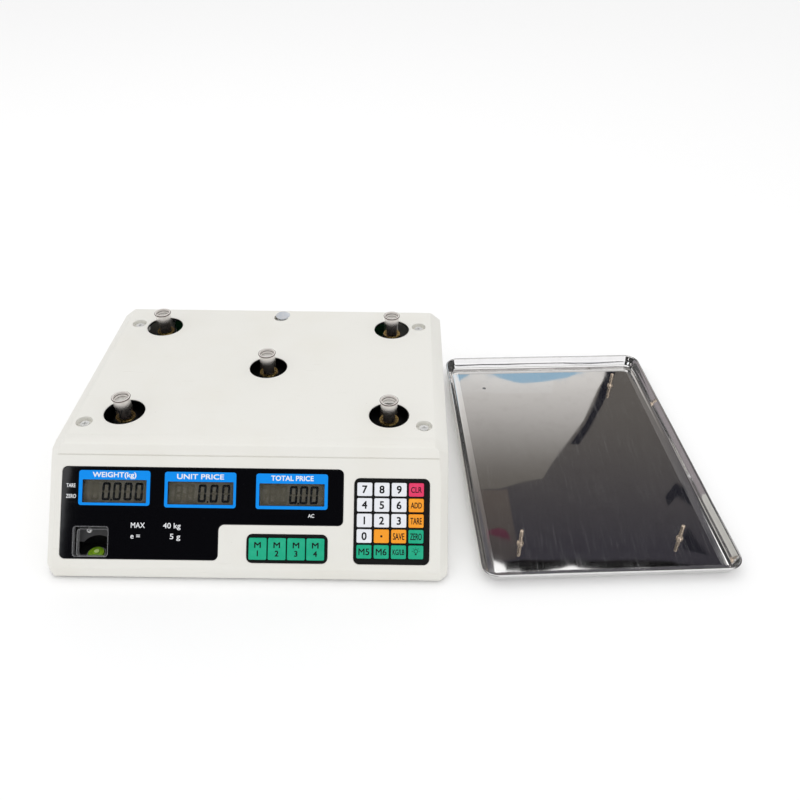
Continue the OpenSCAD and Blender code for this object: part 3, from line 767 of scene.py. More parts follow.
# Across, up, width and height of each opening and blue frame. A caption gives its words, place and
# width, and a word its height too.
LCD_OPENING = [(-114.15, 64.9, 54.5, 19.4), (-40.4, 64.1, 56, 19.2), (37.8, 63.7, 55.6, 18.8)]
BLUE_FRAME = [(-114.2, 67.75, 61, 29.8), (-40.65, 66.9, 61.2, 30.4), (37.8, 66.5, 61.4, 30.2)]
CAPTIONS = [("WEIGHT(kg)", -114.4, 79, 37.4), ("UNIT PRICE", -40.7, 78.2, 40.2),
            ("TOTAL PRICE", 38, 77.8, 36.4)]
WORDS = [("TARE", -151.4, 69.5, 3.3, 7.8), ("ZERO", -151, 60.4, 3.3, 8.6), ("AC", 54.6, 46.1, 3.0, 5.3),
         ("MAX", -93, 36.3, 4.5, 12), ("40 kg", -64, 36.3, 4.5, 15),
         ("e =", -95, 27.2, 4.5, 8), ("5 g", -61, 27.2, 4.5, 9)]
WINDOW_FACE = -0.2
CAPTION_HEIGHT, CAPTION_BOLD, WORD_BOLD = 4.3, 0.12, 0.05
LCD_GLASS, LCD_BEZEL = (61, 25), (64, 27)
LEVEL_SIZE = (30.6, 26)


def annulus(mesh, outer, inner, low, high, material, at):
    """A flat ring between two outlines with as many points as each other."""
    mesh.loft([ring_at(outer, low), ring_at(outer, high), ring_at(inner, high), ring_at(inner, low)],
              material, at, closed=True)


def display_window():
    """The glossy window, with openings over the displays and the level."""
    plate, holes = Mesh(), Mesh()
    plate.loft(slab_rings(window_outline, -WALL, WINDOW_FACE, 0.5), ACRYLIC, on_panel())
    for u, v, w, h in LCD_OPENING:
        flared_cutter(holes, rect_outline(w, h, 0.5), 4, 0.15, on_panel(u, v, WINDOW_FACE))
    flared_cutter(holes, rect_outline(*LEVEL_SIZE, 3), 4, 0.4, on_panel(*LEVEL_AT, WINDOW_FACE))
    window = plate.object("window")
    cut(window, holes)
    finish_cut(window, "window_acrylic_plate", [ACRYLIC], "base", "window_black", "display_window")


def window_print():
    """The blue frames and the white words on the window."""
    prints = Mesh()
    low, high = WINDOW_FACE - 0.01, WINDOW_FACE + 0.03
    for (u, v, w, h), (x, y, wide, tall) in zip(BLUE_FRAME, LCD_OPENING):
        inner = [p + Vector((x - u, y - v)) for p in rounded_rect(wide + 0.3, tall + 0.3, 0.6)]
        annulus(prints, rounded_rect(w, h, 2.2), inner, low, high, BLUE, on_panel(u, v))
    for words, u, v, width in CAPTIONS:
        write(prints, words, on_panel(u, v, high), CAPTION_HEIGHT, WHITE, width, CAPTION_BOLD)
    for words, u, v, height, width in WORDS:
        write(prints, words, on_panel(u, v, high), height, WHITE, width, WORD_BOLD)
    prints.piece("window_print", "base", "window_black", sharp=50)


def displays():
    """Three liquid-crystal displays: glass, bezel and digits, each behind a thin pane."""
    names = ("weight", "unit_price", "total_price")
    pitches, margins = (9.4, 10.2, 8.9), (7.6, 7.2, 9.2)
    point, mark = rounded_rect(1.5, 1.7, 0.4, 3), rounded_rect(1.0, 1.8, 0.2, 2)
    panes = Mesh()
    for i, (u, v, w, h) in enumerate(LCD_OPENING):
        glass = Mesh()
        behind = on_panel(LCD_U[i], LCD_V)
        glass.slab(*LCD_GLASS, 0.8, LCD_BACK, LCD_FACE, 0.3, LCD, behind)
        glass.slab(*LCD_BEZEL, 0.8, BEZEL_BACK, LCD_BACK, 0.2, BLACK, behind)
        readout(glass, on_panel(u, v - 0.4, LCD_FACE), READINGS[i], w / 2 - margins[i], pitches[i],
                (7.0, 15.4), 2.0, point, (0.3, 7.2), 3 - w / 2)
        for x, y in ((-w / 2 + 1.8, h / 2 - 3), (-w / 2 + 1.8, -h / 2 + 2.5), (w / 2 - 1.9, h / 2 - 4)):
            glass.plate(mark, 0, PRINT, LCD_GHOST, on_panel(u + x, v + y, LCD_FACE))
        glass.piece(f"display_{names[i]}", "base", "lcd_glass", f"lcd_{names[i]}")
        panes.slab(w - 0.1, h - 0.1, 0.4, -0.9, -0.5, 0.05, PANE, on_panel(u, v))
    panes.piece("display_panes", "base", "window_black")


def bubble_level():
    """The level behind the window's corner: a clear cup, a plate with a screw, and the vial."""
    low, high = in_mm(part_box("level_vial"))
    mid = (low + high) / 2
    at = shift(mid.x, mid.y, low.z)
    vial, cup, plate, hole, screw = Mesh(), Mesh(), Mesh(), Mesh(), Mesh()
    vial.lathe([(8.5, 0.2), (8.5, 4.4), (8.2, 4.8), (7.3, 4.8), (7.1, 4.5), (7.1, 3.2)], EDGE, at)
    vial.lathe([(7.0, 0.4), (7.0, 5.6), (6.6, 6.3), (5.0, 6.9), (2.5, 7.3), (0.4, 7.35)], GREEN_LIQUID, at)
    vial.lathe([(3.1, 7.15), (3.5, 7.0), (3.5, 7.12), (3.1, 7.28)], LEGEND, at, closed=True)
    vial.lathe([(2.2, 7.1), (2.1, 7.34), (1.4, 7.39), (0.3, 7.39)], PALE_BUBBLE, at @ shift(0.6, 0.9))
    vial.piece("bubble_level_vial", "base", "level_green", "level_vial")

    u, v = LEVEL_AT
    w, h = LEVEL_SIZE
    for x, y, wide, tall, thick, top, foot in ((0, 0, w - 0.2, h - 0.2, 0.45, -0.5, -5.2),
                                               (1.3, -1.1, w - 3.4, h - 2.8, 0.55, -2.2, -7.4)):
        rim = [p + Vector((x, y)) for p in rounded_rect(wide, tall, 2.6)]
        inner = [p + Vector((x, y)) for p in rounded_rect(wide - 2 * thick, tall - 2 * thick, 2.2)]
        annulus(cup, rim, inner, foot, top, EDGE, on_panel(u, v))
    cup.piece("level_cup", "base", "window_black")

    face = -9.6
    plate.slab(w - 0.6, 18, 1, face - 1, face, 0.3, BOARD_GREY, on_panel(u, v + 7.6))
    hole.plate(circle(17, 0, 64), -20, 5, BLACK, on_panel(u + 4, v - 12.5))
    plate = plate.object("plate")
    cut(plate, hole)
    finish_cut(plate, "level_plate", [BOARD_GREY], "base", "frame_black")
    head = on_panel(u - 4.4, v + 8.6, face)
    screw.lathe([(2.3, 0), (2.3, 0.5), (1.9, 1.05), (1.0, 1.35), (0.2, 1.4)], SCREW, head, 32)
    for angle in (20, 110):
        screw.plate(rounded_rect(2.6, 0.5, 0.2, 2), 1.2, 1.43, LEGEND, head @ turn(angle))
    screw.piece("level_screw", "base", "bolt_steel")


# ---------- keys ----------

KEY_SIZE, KEY_PITCH, FIRST_KEY = (12.85, 11.45), (14.7, 13.2), (100.2, 69.4)
MEMORY_KEY, MEMORY_PITCH, FIRST_MEMORY = (15.3, 18.5), 16.35, (9.8, 17.9)
KEY_RISE, KEY_FOOT, FRAME_FRONT = 1.6, -7.0, 0.5
NUMBER_BOLD, LEGEND_BOLD, MEMORY_LEGEND = 0.2, 0.09, 4.9
WHITE_KEY, GREEN_KEY = (KEY_WHITE, "key_white"), (KEY_GREEN, "key_green")
ORANGE_KEY, PINK_KEY = (KEY_ORANGE, "key_orange"), (KEY_PINK, "key_red")


def number_key(number):
    return number, number, 6.6, None, WHITE_KEY


# Each main key: its node's name, its legend, the legend's height and width, and its colours
MAIN_KEYS = [
    *map(number_key, "789"), ("clear", "CLR", 4.9, 9.2, PINK_KEY),
    *map(number_key, "456"), ("add", "ADD", 5.0, 9.4, ORANGE_KEY),
    *map(number_key, "123"), ("tare", "TARE", 5.6, 9.8, ORANGE_KEY),
    number_key("0"), ("point", "", 0, None, ORANGE_KEY),
    ("save", "SAVE", 5.6, 9.8, ORANGE_KEY), ("zero", "ZERO", 5.6, 10, GREEN_KEY),
    ("m5", "M5", 5.5, 9.2, GREEN_KEY), ("m6", "M6", 5.5, 9.2, GREEN_KEY),
    ("unit", "KG/LB", 4.6, 10, GREEN_KEY), ("lamp", "", 0, None, GREEN_KEY),
]


def keycap(mesh, u, v, size, material):
    """A flat-topped cap with a rounded rim, its skirt and its stem."""
    w, h = size
    at = on_panel(u, v)
    mesh.slab(w, h, 1.2, KEY_FOOT + 2, KEY_RISE, 0.55, material, at)
    mesh.slab(w + 0.8, h + 0.8, 1.4, KEY_FOOT, KEY_FOOT + 2, 0.2, material, at)
    mesh.lathe([(2.25, KEY_FOOT - 1.7), (2.25, KEY_FOOT)], material, at, 24)


def lamp_mark(mesh, at):
    """A small lamp: a bulb's outline over a base, with short rays."""
    bulb, centre = circle(1.75, 0, 28), at @ shift(0, 0.9)
    annulus(mesh, bulb, [p * 0.76 for p in bulb], 0, 0.03, LEGEND, centre)
    mesh.plate(rounded_rect(1.5, 1.1, 0.3, 2), 0, 0.03, LEGEND, at @ shift(0, -1.7))
    for angle in range(0, 181, 45):
        mesh.plate(rounded_rect(1.1, 0.35, 0.12, 2), 0, 0.03, LEGEND, centre @ turn(angle) @ shift(2.9))


def keys():
    """Every keycap with its legend, each riding on its own key."""
    legend_w = KEY_RISE - 0.01
    for i, (name, words, height, width, (material, slot)) in enumerate(MAIN_KEYS):
        u = FIRST_KEY[0] + i % 4 * KEY_PITCH[0]
        v = FIRST_KEY[1] - i // 4 * KEY_PITCH[1]
        cap = Mesh()
        keycap(cap, u, v, KEY_SIZE, material)
        at = on_panel(u, v, legend_w)
        if words:
            write(cap, words, at, height, LEGEND, width, LEGEND_BOLD if width else NUMBER_BOLD)
        elif name == "point":
            cap.lathe([(1.0, 0), (0.98, 0.035)], LEGEND, at, 24)
        else:
            lamp_mark(cap, at)
        cap.piece(f"keycap_{name}", f"key_{name}", slot, f"key_{name}")
    for i in range(4):
        u, v = FIRST_MEMORY[0] + i * MEMORY_PITCH, FIRST_MEMORY[1]
        cap = Mesh()
        keycap(cap, u, v, MEMORY_KEY, KEY_GREEN)
        write(cap, "M", on_panel(u, v + 3.3, legend_w), MEMORY_LEGEND, LEGEND, 5.7, 0.14)
        write(cap, str(i + 1), on_panel(u, v - 3.8, legend_w), MEMORY_LEGEND, LEGEND, None, 0.16)
        cap.piece(f"memory_keycap_{i + 1}", f"memory_key_{i + 1}", "key_green", f"memory_key_{i + 1}")


def key_frames():
    """The black grids that the keys come up through."""
    def grid(name, size, at, key, spots, node):
        slab, flange, holes = Mesh(), Mesh(), Mesh()
        w, h = size
        slab.slab(w, h, 5, -WALL, FRAME_FRONT, 0.5, FRAME_BLACK, on_panel(*at))
        flange.slab(w + 6, h + 6, 2, -4.8, -WALL + 0.02, 0.2, FRAME_BLACK, on_panel(*at))
        for spot in spots:
            outline = rect_outline(key[0] + 0.3, key[1] + 0.3, 1.3)
            flared_cutter(holes, outline, 8, 0.25, on_panel(*spot, FRAME_FRONT), 3)
        made = slab.object(name)
        join(made, flange)
        cut(made, holes)
        finish_cut(made, name, [FRAME_BLACK], "base", "frame_black", node)

    spots = [(FIRST_KEY[0] + i * KEY_PITCH[0], FIRST_KEY[1] - j * KEY_PITCH[1])
             for i in range(4) for j in range(5)]
    grid("keypad_grid", PAD_SIZE, PAD_AT, KEY_SIZE, spots, "keypad_frame")
    spots = [(FIRST_MEMORY[0] + i * MEMORY_PITCH, FIRST_MEMORY[1]) for i in range(4)]
    grid("memory_grid", MEMORY_SIZE, MEMORY_AT, MEMORY_KEY, spots, "memory_frame")


# ---------- deck fittings ----------

def sleeves():
    """Five clear sleeves with a rolled lip, standing on brass washers."""
    top = SLEEVE_TOP
    low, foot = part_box("sleeve_washers")[0].z / MM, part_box("sleeve_washers")[1].z / MM
    outside = [(7.5, top - 2.6), (7.7, top - 2.0), (8.1, top - 1.6), (8.25, top - 1.0), (8.15, top - 0.45)]
    lip = [(7.85, top - 0.1), (7.45, top), (7.0, top - 0.1), (6.75, top - 0.4)]
    inside = [(6.7, top - 1.2), (6.7, top - 2.8), (6.2, top - 3.2), (5.7, top - 4.2), (5.6, top - 5.5)]
    tube = [(5.6, foot), (7.5, foot)] + outside + lip + inside
    clear, washers = Mesh(), Mesh()
    ring = [(5.6, low), (8.6, low), (8.75, low + 0.2), (8.75, foot - 0.25), (8.5, foot), (5.8, foot),
            (5.6, foot - 0.2)]
    for x, y in SOCKETS:
        at = shift(x, y)
        clear.lathe(tube, SLEEVE, at, 56, closed=True)
        for radius, z, half in ((7.9, top - 0.75, 0.55), (6.5, top - 2.3, 0.25), (5.75, top - 4.4, 0.22)):
            bead = [(radius + p.x, z + p.y) for p in circle(half, 0, 8)]
            clear.lathe(bead, SLEEVE_RING, at, 56, closed=True)
        washers.lathe(ring, BRASS, at, 56, closed=True)
    clear.piece("clear_sleeves", "carrier", "sleeve_clear", "sleeves", sharp=60)
    washers.piece("brass_washers", "carrier", "washer_brass", "sleeve_washers")


def seal():
    """A blank foil seal, pressed half over the rear middle recess."""
    disc, rings, radius = Mesh(), [], 7.6
    for r, z in ((radius, 0.0), (radius, 0.14), (6.2, 0.18), (4, 0.2), (1.5, 0.2)):
        ring = circle(r, z, 40)
        for p in ring:
            p.z += 0.05 * noise.noise(p * 0.35)
            p.z -= 0.9 * max(0.0, -p.y / radius) ** 2
        rings.append(ring)
    x, y = POSTS[4]
    disc.loft(rings, SEAL, shift(x + 1.5, y + 4.2, DECK_Z + 0.05))
    disc.piece("deck_seal", "base", "housing")


# ---------- pan ----------

PAN_SIZE, PAN_H, SHEET = (230, 333), 12.4, 1
PAN_AT, PAN_TURN = (306.4, 17.1), 3.3
PAN_R, RIM_SLOPE, RIM_BEND = 15, math.radians(64), 5
RIM_WAVE, RIM_RIPPLE, FLOOR_WAVE, FLOOR_RISE = 0.35, 0.12, 0.12, 0.16
STUD_TOP = 18.0
ON_TABLE = shift(*PAN_AT) @ turn(PAN_TURN)


def pan():
    """A drawn tray: its rim bends up, and its top edge is folded in and pressed flat."""
    foot = PAN_R - RIM_BEND * math.sin(RIM_SLOPE) - (
        PAN_H - RIM_BEND * (1 - math.cos(RIM_SLOPE))) / math.tan(RIM_SLOPE)

    def bend(radius, count=6):
        return [(foot + radius * math.sin(t), RIM_BEND - radius * math.cos(t))
                for t in (RIM_SLOPE * k / count for k in range(count + 1))]

    def below(inward, drop):
        """A place so far in from the rim's edge and down from its top."""
        return PAN_R - inward, PAN_H - drop

    lean = 1 / math.tan(RIM_SLOPE)
    outside = bend(RIM_BEND) + [below(5 * lean, 5), below(2 * lean, 2)]
    roll = [below(0.05, 0.7), below(0.3, 0.25), below(0.8, 0.02), below(1.5, 0.02), below(2.1, 0.3),
            below(2.5, 0.8)]
    hem = [below(2.5 + 3 * lean, 4), below(6 * lean + 2.35, 5.7), below(6 * lean + 2.0, 6.1),
           below(6 * lean + 1.15, 6.2)]
    inside = bend(RIM_BEND - SHEET)[::-1]
    section = [(0.3, 0.0)] + outside + roll + hem + inside + [(0.3, SHEET)]
    x, y = (side / 2 - PAN_R for side in PAN_SIZE)
    steps, along = 8, 22

    def ring(radius, z):
        """The outline so far out from the corners' centres, its straight sides cut into short steps."""
        arcs = [[Vector((sx * x + radius * math.cos(t), sy * y + radius * math.sin(t), z))
                 for t in (math.pi / 2 * (i + k / steps) for k in range(steps + 1))]
                for i, (sx, sy) in enumerate(((1, 1), (-1, 1), (-1, -1), (1, -1)))]
        points = []
        for arc, following in zip(arcs, arcs[1:] + arcs[:1]):
            points += arc + [arc[-1].lerp(following[0], k / along) for k in range(1, along)]
        return points

    def dent(p):
        """The sheet isn't dead flat: it pants a little, and its rim waves."""
        edge = min(1.0, max(0.0, p.z / PAN_H))
        wave = noise.noise(Vector((p.x, p.y, 0)) / 55)
        small = noise.noise(Vector((p.x + 400, p.y, 0)) / 16)
        p.x += edge * (RIM_WAVE * wave + RIM_RIPPLE * small)
        wave = noise.noise(Vector((p.x - 300, p.y, 0)) / 55)
        p.y += edge * (RIM_WAVE * wave + RIM_RIPPLE * small)
        return p

    def floor_height(p):
        """How far the floor rises at a place: nothing at its edge, where it meets the rim."""
        inner = min(1.0, max(0.0, min(x - abs(p.x), y - abs(p.y)) / 40))
        ease = inner * inner * (3 - 2 * inner)
        wide = noise.noise(Vector((p.x + 90, p.y - 40, 0)) / 130)
        return ease * (FLOOR_WAVE * wide + FLOOR_RISE)

    tray = Mesh()
    rings = [[dent(p) for p in ring(radius, z)] for radius, z in section]
    # The rim takes the paler rim steel: painted light on the same sheet as the floor.
    tray.loft(rings, RIM_STEEL_PAINTED_SHEEN, ON_TABLE, caps=False)
    for z, rise in ((SHEET, floor_height), (0, lambda p: 0.0)):
        floor_grid(tray, ring(0.3, z), z, rise)
    made = tray.object("pan_tray", 42)
    bm = bmesh.new()
    bm.from_mesh(made.data)
    bmesh.ops.remove_doubles(bm, verts=bm.verts, dist=1e-5)
    bmesh.ops.recalc_face_normals(bm, faces=bm.faces)
    bm.to_mesh(made.data)
    bm.free()
    settle(made, "pan", "pan_steel", "pan")


def floor_grid(mesh, outline, z, rise):
    """Fills an outline with rings that shrink to its middle, so that it can rise and fall smoothly."""
    rings = []
    for share in [1 - k / 14 for k in range(14)] + [0.02]:
        ring = [Vector((p.x * share, p.y * share, z)) for p in outline]
        for p in ring:
            p.z += rise(p)
        rings.append(ring)
    mesh.loft(rings, STEEL, ON_TABLE, caps=False)
    mesh.add(rings[-1], [list(range(len(outline)))], STEEL, ON_TABLE)


def studs():
    """Three shouldered studs, spot-welded to the pan, and a bare weld in the fourth corner."""
    pins = Mesh()
    body = [(2.2, SHEET), (3.0, SHEET + 0.15), (3.1, SHEET + 0.5), (3.1, SHEET + 1.3), (2.9, SHEET + 1.6),
            (2.2, SHEET + 2.3), (1.7, SHEET + 2.5), (1.5, SHEET + 2.8), (1.5, SHEET + 4.1),
            (1.72, SHEET + 4.4)]
    tip = [(1.72, STUD_TOP - 1.3), (1.6, STUD_TOP - 0.7), (1.3, STUD_TOP - 0.25), (0.7, STUD_TOP - 0.03),
           (0.1, STUD_TOP)]
    for x, y in ((1, 1), (-1, -1), (1, -1)):
        at = ON_TABLE @ shift(x * HOLE_SPAN[1] / 2, y * HOLE_SPAN[0] / 2)
        pins.lathe(body + tip, STUD, at, 32)
    pins.piece("pan_stud_pins", "pan", "stud_brass", "pan_studs")
    mark = Mesh()
    at = ON_TABLE @ shift(-HOLE_SPAN[1] / 2, HOLE_SPAN[0] / 2, SHEET + 0.05)
    mark.lathe([(2.1, 0), (1.9, 0.22), (1.5, 0.28), (0.9, 0.2), (0.2, 0.24)], ZINC, at, 24)
    mark.piece("pan_weld_mark", "pan", "pan_steel")


# ---------- rear wall and underside ----------

def rear_fittings():
    """The customer's window and its three displays, read from behind."""
    window, holes, prints, glass = Mesh(), Mesh(), Mesh(), Mesh()
    window.slab(*REAR_WIN, 4, -WALL, WINDOW_FACE, 0.5, ACRYLIC, on_rear(0, REAR_WIN_Z))
    glass.slab(240, 27, 1, -9, BEZEL_BACK, 0.2, BOARD, on_rear(0, REAR_WIN_Z + 1))
    point = rounded_rect(1.1, 1.2, 0.3, 3)
    for u, words, reading in zip(LCD_U, ("WEIGHT", "UNIT PRICE", "TOTAL PRICE"), READINGS):
        x = -u - REAR_LCD_SHIFT
        flared_cutter(holes, rect_outline(55, 18, 0.5), 4, 0.15, on_rear(x, REAR_WIN_Z, WINDOW_FACE))
        at = on_rear(x, REAR_WIN_Z, WINDOW_FACE + 0.02)
        annulus(prints, rounded_rect(58, 21, 1.5), rounded_rect(55.4, 18.4, 0.6), -0.02, 0.02, BLUE, at)
        write(prints, words, at @ shift(0, 12.4), 2.3, WHITE, None, 0.04)
        glass.slab(66, 24, 1, BEZEL_BACK, LCD_FACE, 0.3, LCD, on_rear(x, REAR_WIN_Z))
        readout(glass, on_rear(x, REAR_WIN_Z, LCD_FACE), reading, 20.5, 9, (6.3, 14.4), 1.4,
                point, (0.2, 6.6))
    plate = window.object("rear_plate")
    cut(plate, holes)
    finish_cut(plate, "rear_window_plate", [ACRYLIC], "base", "window_black", "rear_window")
    prints.piece("rear_window_print", "base", "window_black", sharp=50)
    glass.piece("rear_display_glass", "base", "lcd_glass", "rear_display")


def power_socket():
    """The mains inlet's moulding, with its pins, around the socket and the rocker."""
    socket_x, rocker_x = INLET_AT[0] - 11, INLET_AT[0] + 14
    body, box, holes, pins, marks = Mesh(), Mesh(), Mesh(), Mesh(), Mesh()
    body.slab(52, 27, 3, 0, 2, 0.9, BLACK, on_rear(*INLET_AT))
    box.plate(rounded_rect(47, 22, 1), -26, 0.5, BLACK, on_rear(*INLET_AT))
    flange = body.object("inlet")
    join(flange, box)

    half_w, half_h = 12, 8.3

    def socket_outline(g):
        right = [(half_w, -half_h), (half_w, 4.5), (8.2, half_h)]
        corners = right + [(-a, b) for a, b in right[::-1]]
        grown = [(a * (half_w + g) / half_w, b * (half_h + g) / half_h, 0.8 + g / 2) for a, b in corners]
        return rounded_outline(grown, 4)

    flared_cutter(holes, socket_outline, 17, 0.35, on_rear(socket_x, INLET_AT[1], 2))
    flared_cutter(holes, rect_outline(13.2, 19.4, 0.6), 15, 0.3, on_rear(rocker_x, INLET_AT[1], 2))
    cut(flange, holes)
    finish_cut(flange, "power_inlet_body", [BLACK], "base", "inlet_black", "power_inlet")
    for x, z in ((-7, -2), (7, -2), (0, 2)):
        pins.slab(2, 4, 0.4, -16, -3.2, 0.35, BRASS, on_rear(socket_x + x, INLET_AT[1] + z))
    pins.piece("power_inlet_pins", "base", "washer_brass")
    seen = shift(rocker_x, HALF_D - 3, INLET_AT[1]) @ turn(-9, "X") @ turn(180) @ turn(90, "X")
    on, off = (seen @ shift(0, 0, 3) @ turn(-16 * side, "X") @ shift(0, 5.2 * side, 0.02)
               for side in (1, -1))
    loop = circle(1.7, 0, 28)
    marks.plate(rounded_rect(0.7, 3.4, 0.2, 2), 0, 0.06, WHITE, on)
    annulus(marks, loop, [p * 0.66 for p in loop], 0, 0.06, WHITE, off)
    marks.piece("power_rocker_marks", "power_rocker", "rocker_red")


def feet():
    """Levelling feet: a ribbed rubber pad on a threaded stem."""
    for name in ("front_left", "front_right", "rear_left", "rear_right"):
        low, high = in_mm(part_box(f"foot_{name}"))
        at = shift((low.x + high.x) / 2, (low.y + high.y) / 2)
        foot = Mesh()
        pad = [(6, 0.5), (7, 0.5), (7.4, 0), (9.2, 0), (9.6, 0.35), (10.2, 0.35), (10.6, 0), (11.6, 0),
               (12, 0.5), (12, 3.3), (11.7, 3.7), (8.6, 6.6), (7.6, 7.0), (4.2, 7.0)]
        foot.lathe(pad, RUBBER, at, 48)
        stem, z = [(3.9, 6.9)], 7.4
        while z < high.z - 1:
            stem += [(4.0, z), (3.55, z + 0.35), (4.0, z + 0.7)]
            z += 1.0
        stem += [(3.6, high.z - 0.1), (3.2, high.z)]
        foot.lathe(stem, RUBBER, at, 32)
        foot.piece(f"levelling_foot_{name}", f"foot_{name}", "foot_rubber", f"foot_{name}")


# ---------- CAD nodes that keep their shape ----------

def carried_over():
    """CAD nodes whose shape is right: each gets its material, and its edges a fine round."""
    kept = (
        (TRAY, 0.3, "bottom_cover"), (ZINC, 0.3, "base_plate"), (CARRIER_BLACK, 0.4, "carrier"),
        (ALLOY, 0.4, "cell_base_block", "load_cell", "cell_top_block"),
        (BOLT, 0.2, "cell_base_bolts", "carrier_screws", "overload_stops"),
        (BOARD, 0, "display_board", "key_board", "mainboard"),
        (BATTERY, 0.5, "battery"), (LAMINATIONS, 0.4, "transformer"), (BLACK, 0.2, "level_housing"),
        (SCREW, 0.15, "cover_screws"), (ROCKER, 0.25, "power_rocker"),
    )
    for material, width, node in [(paint, width, NODES[name])
                                  for paint, width, *names in kept for name in names]:
        for slot in node.material_slots:
            slot.material = material
        if width:
            node.modifiers.new("weld", "WELD").merge_threshold = 1e-6
            edges = node.modifiers.new("edges", "BEVEL")
            edges.width = width * MM
            edges.segments = 2
            edges.limit_method = "ANGLE"
            edges.angle_limit = math.radians(40)
            edges.use_clamp_overlap = True
            weigh_normals(node)


# ---------- stage ----------

CAMERA_AT = (0.12924, -0.59042, 0.52431)
CAMERA_LENS, LOOKING_DOWN, CAMERA_ROLL = 34.8, 36.85, 0.75


def camera():
    """The viewing angle: from the front, a little to the right, looking 37 degrees down."""
    pitch, roll = math.radians(LOOKING_DOWN), math.radians(CAMERA_ROLL)
    ahead = Vector((0, math.cos(pitch), -math.sin(pitch)))
    up = Vector((0, math.sin(pitch), math.cos(pitch)))
    right = Vector((1, 0, 0))
    x = right * math.cos(roll) + up * math.sin(roll)
    y = up * math.cos(roll) - right * math.sin(roll)
    made = put("camera", bpy.data.cameras.new("camera"))
    made.data.lens = CAMERA_LENS
    made.data.sensor_width = 36
    made.matrix_world = shift(*CAMERA_AT) @ Matrix((x, y, -ahead)).transposed().to_4x4()
    bpy.context.scene.camera = made


def softbox(name, place, target, size, power):
    """A square light that mirrors don't show."""
    made = put(name, bpy.data.lights.new(name, "AREA"))
    made.data.shape = "RECTANGLE"
    made.data.size = made.data.size_y = size
    made.data.energy = power
    made.location = place
    made.rotation_euler = (Vector(target) - Vector(place)).to_track_quat("-Z", "Y").to_euler()
    made.visible_glossy = False


def card(name, corners, low, high, glow=1.0):
    """A flat shape that only mirrors see. It glows in the colour low at its foot and high at its head."""
    paint = Paint(name, low, 1)
    heights = [corner[2] for corner in corners]
    rise = paint.ramp(paint.height(), min(heights), max(heights) + 0.001, ease="SMOOTHSTEP")
    colour = paint.tint(rise, high).shader.inputs["Base Color"].links[0].from_socket
    light = paint.node("ShaderNodeEmission")
    light.inputs["Strength"].default_value = glow
    paint.link(colour, light.inputs["Color"])
    paint.link(light.outputs[0], paint.tree.nodes["Material Output"].inputs["Surface"])
    face = [list(range(len(corners)))]
    sheet = Mesh().add([Vector(c) / MM for c in corners], face, paint.material).object(name)
    sheet.visible_camera = sheet.visible_diffuse = sheet.visible_shadow = sheet.visible_transmission = False


def upright(name, y, outline, low, high, glow=1.0):
    card(name, [(x, y, z) for x, z in outline], low, high, glow)


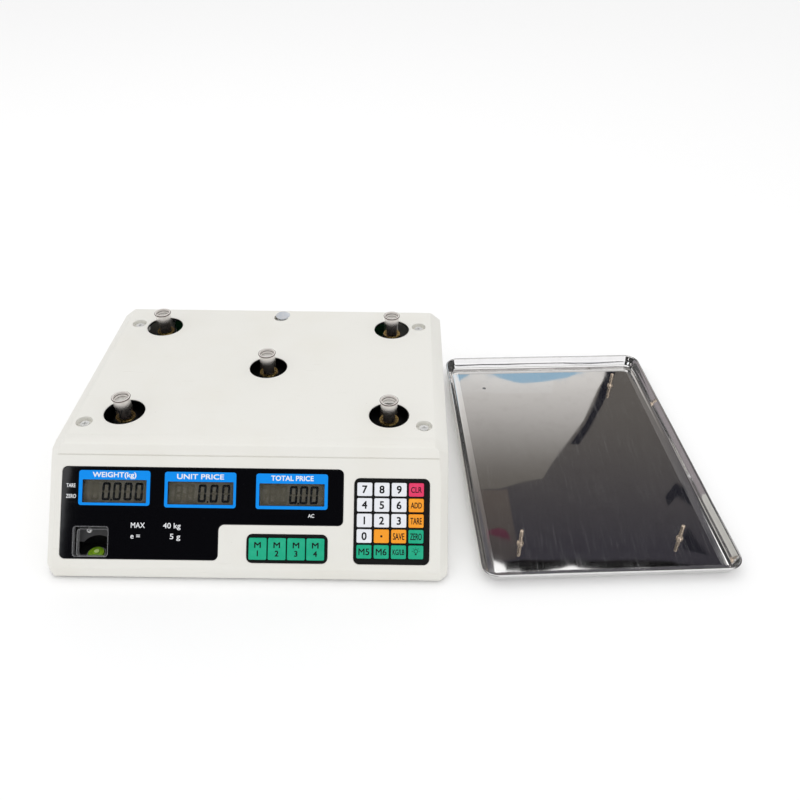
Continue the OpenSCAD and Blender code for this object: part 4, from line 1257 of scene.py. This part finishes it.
def mirrored_room():
    """What the polished pan and the glossy window mirror. No other ray sees any of it.

    The first cards stand behind the object, where the pan's floor looks: a dim room with a bright wall,
    its dark edge, patches of colour and a lamp. Each is an outline of (x, z) in metres."""
    white, night = (1, 1, 1), (0.012, 0.012, 0.02)
    upright("room", 2.1, [(-1.4, 1.1), (3.2, 1.1), (3.2, 2.55), (-1.4, 2.55)],
            (0.17, 0.155, 0.14), (0.045, 0.042, 0.055))
    upright("wall", 2.08, [(-0.3, 1.1), (0.99, 1.1), (0.99, 1.3), (0.97, 1.43), (0.94, 1.57), (0.89, 1.7),
                           (0.83, 1.84), (0.80, 1.93), (0.71, 1.95), (0.58, 2.0), (-0.3, 1.98)],
            (1.1, 1.07, 1.04), (0.17, 0.155, 0.14))
    upright("step", 2.075, [(0.36, 1.3), (0.77, 1.3), (0.78, 1.42), (0.38, 1.43)],
            (1.0, 0.98, 0.96), (0.86, 0.84, 0.82))
    upright("shelf", 2.07, [(0.2, 1.97), (0.58, 2.0), (0.62, 1.99), (0.66, 2.19), (0.73, 2.5), (0.2, 2.5)],
            (0.13, 0.11, 0.10), (0.075, 0.065, 0.065))
    upright("edge", 2.06, [(0.985, 1.2), (1.03, 1.2), (1.015, 1.42), (0.97, 1.59), (0.935, 1.7),
                           (0.895, 1.7), (0.945, 1.57), (0.975, 1.42)], night, night)
    upright("arch", 2.06, [(1.40, 2.0), (1.42, 1.92), (1.48, 1.97), (1.59, 2.11), (1.52, 2.06), (1.45, 2.0),
                           (1.43, 2.06)], night, night)
    upright("post", 2.06, [(1.56, 2.2), (1.71, 2.41), (1.57, 2.41), (1.56, 2.28)], night, night)
    upright("blue", 2.05, [(0.3, 1.2), (0.98, 1.2), (0.94, 1.265), (0.82, 1.305), (0.64, 1.325),
                           (0.47, 1.295), (0.42, 1.3), (0.36, 1.37), (0.3, 1.37)],
            (0.45, 0.72, 0.95), (0.4, 0.62, 0.8))
    upright("mauve", 2.04, [(0.55, 2.25), (0.57, 2.23), (0.6, 2.22), (0.63, 2.24), (0.65, 2.28),
                            (0.66, 2.31), (0.63, 2.3), (0.58, 2.27)],
            (0.13, 0.035, 0.06), (0.10, 0.028, 0.05))
    upright("lamp", 2.03, [(0.55, 2.51), (0.56, 2.48), (0.58, 2.45), (0.6, 2.44), (0.63, 2.46),
                           (0.66, 2.49), (0.68, 2.53), (0.79, 2.545), (0.93, 2.51), (1.03, 2.5),
                           (1.14, 2.51), (1.27, 2.535), (1.8, 2.58), (1.8, 3.1), (0.55, 3.1)],
            white, white, 1.6)
    # Along the window's left end
    upright("aisle", -2.5, [(-1.34, 1.45), (-1.47, 2.05), (-3.2, 2.05), (-3.2, 1.3)],
            (0.9, 0.95, 1), white, 1.5)
    # Low down behind the camera, to the left and overhead, for the pan's rims and the studs
    upright("window", -3, [(-1.5, 0.1), (4, 0.1), (4, 1.2), (-1.5, 1.2)], white, (0.7, 0.72, 0.75), 1.1)
    upright("door", -2.9, [(0.35, 1.25), (4, 1.25), (4, 3.6), (0.35, 3.6)], (0.8, 0.8, 0.82), white, 1.3)
    card("side", [(-3, -1, 0.05), (-3, 4, 0.05), (-3, 4, 1.3), (-3, -1, 1.3)],
         (0.3, 0.265, 0.28), (0.2, 0.185, 0.2))
    card("ceiling", [(-1.5, -1.2, 2.4), (2.2, -1.2, 2.4), (2.2, 0.9, 2.4), (-1.5, 0.9, 2.4)],
         white, white, 1.1)


def studio():
    """A white floor and sky, one soft light, and what mirrors see instead of the sky."""
    reach = 6000
    corners = [(-reach, -reach, 0), (reach, -reach, 0), (reach, reach, 0), (-reach, reach, 0)]
    white = Paint("floor", (0.98, 0.98, 0.98), 0.9).material
    floor = Mesh().add(corners, [(0, 1, 2, 3)], white).object("floor")
    world = bpy.data.worlds.new("world")
    world.use_nodes = True
    sky = world.node_tree.nodes["Background"].inputs
    sky["Color"].default_value = (1, 1, 1, 1)
    sky["Strength"].default_value = 0.985
    world.cycles_visibility.glossy = False
    bpy.context.scene.world = world
    softbox("top", (-0.4, 0.3, 1.9), (0.1, 0, 0), 1.6, 4)
    mirrored_room()
    bpy.context.scene.view_settings.view_transform = "Standard"


carried_over()
top_cover()
display_window()
window_print()
displays()
bubble_level()
keys()
key_frames()
sleeves()
seal()
pan()
studs()
rear_fittings()
power_socket()
feet()
camera()
studio()
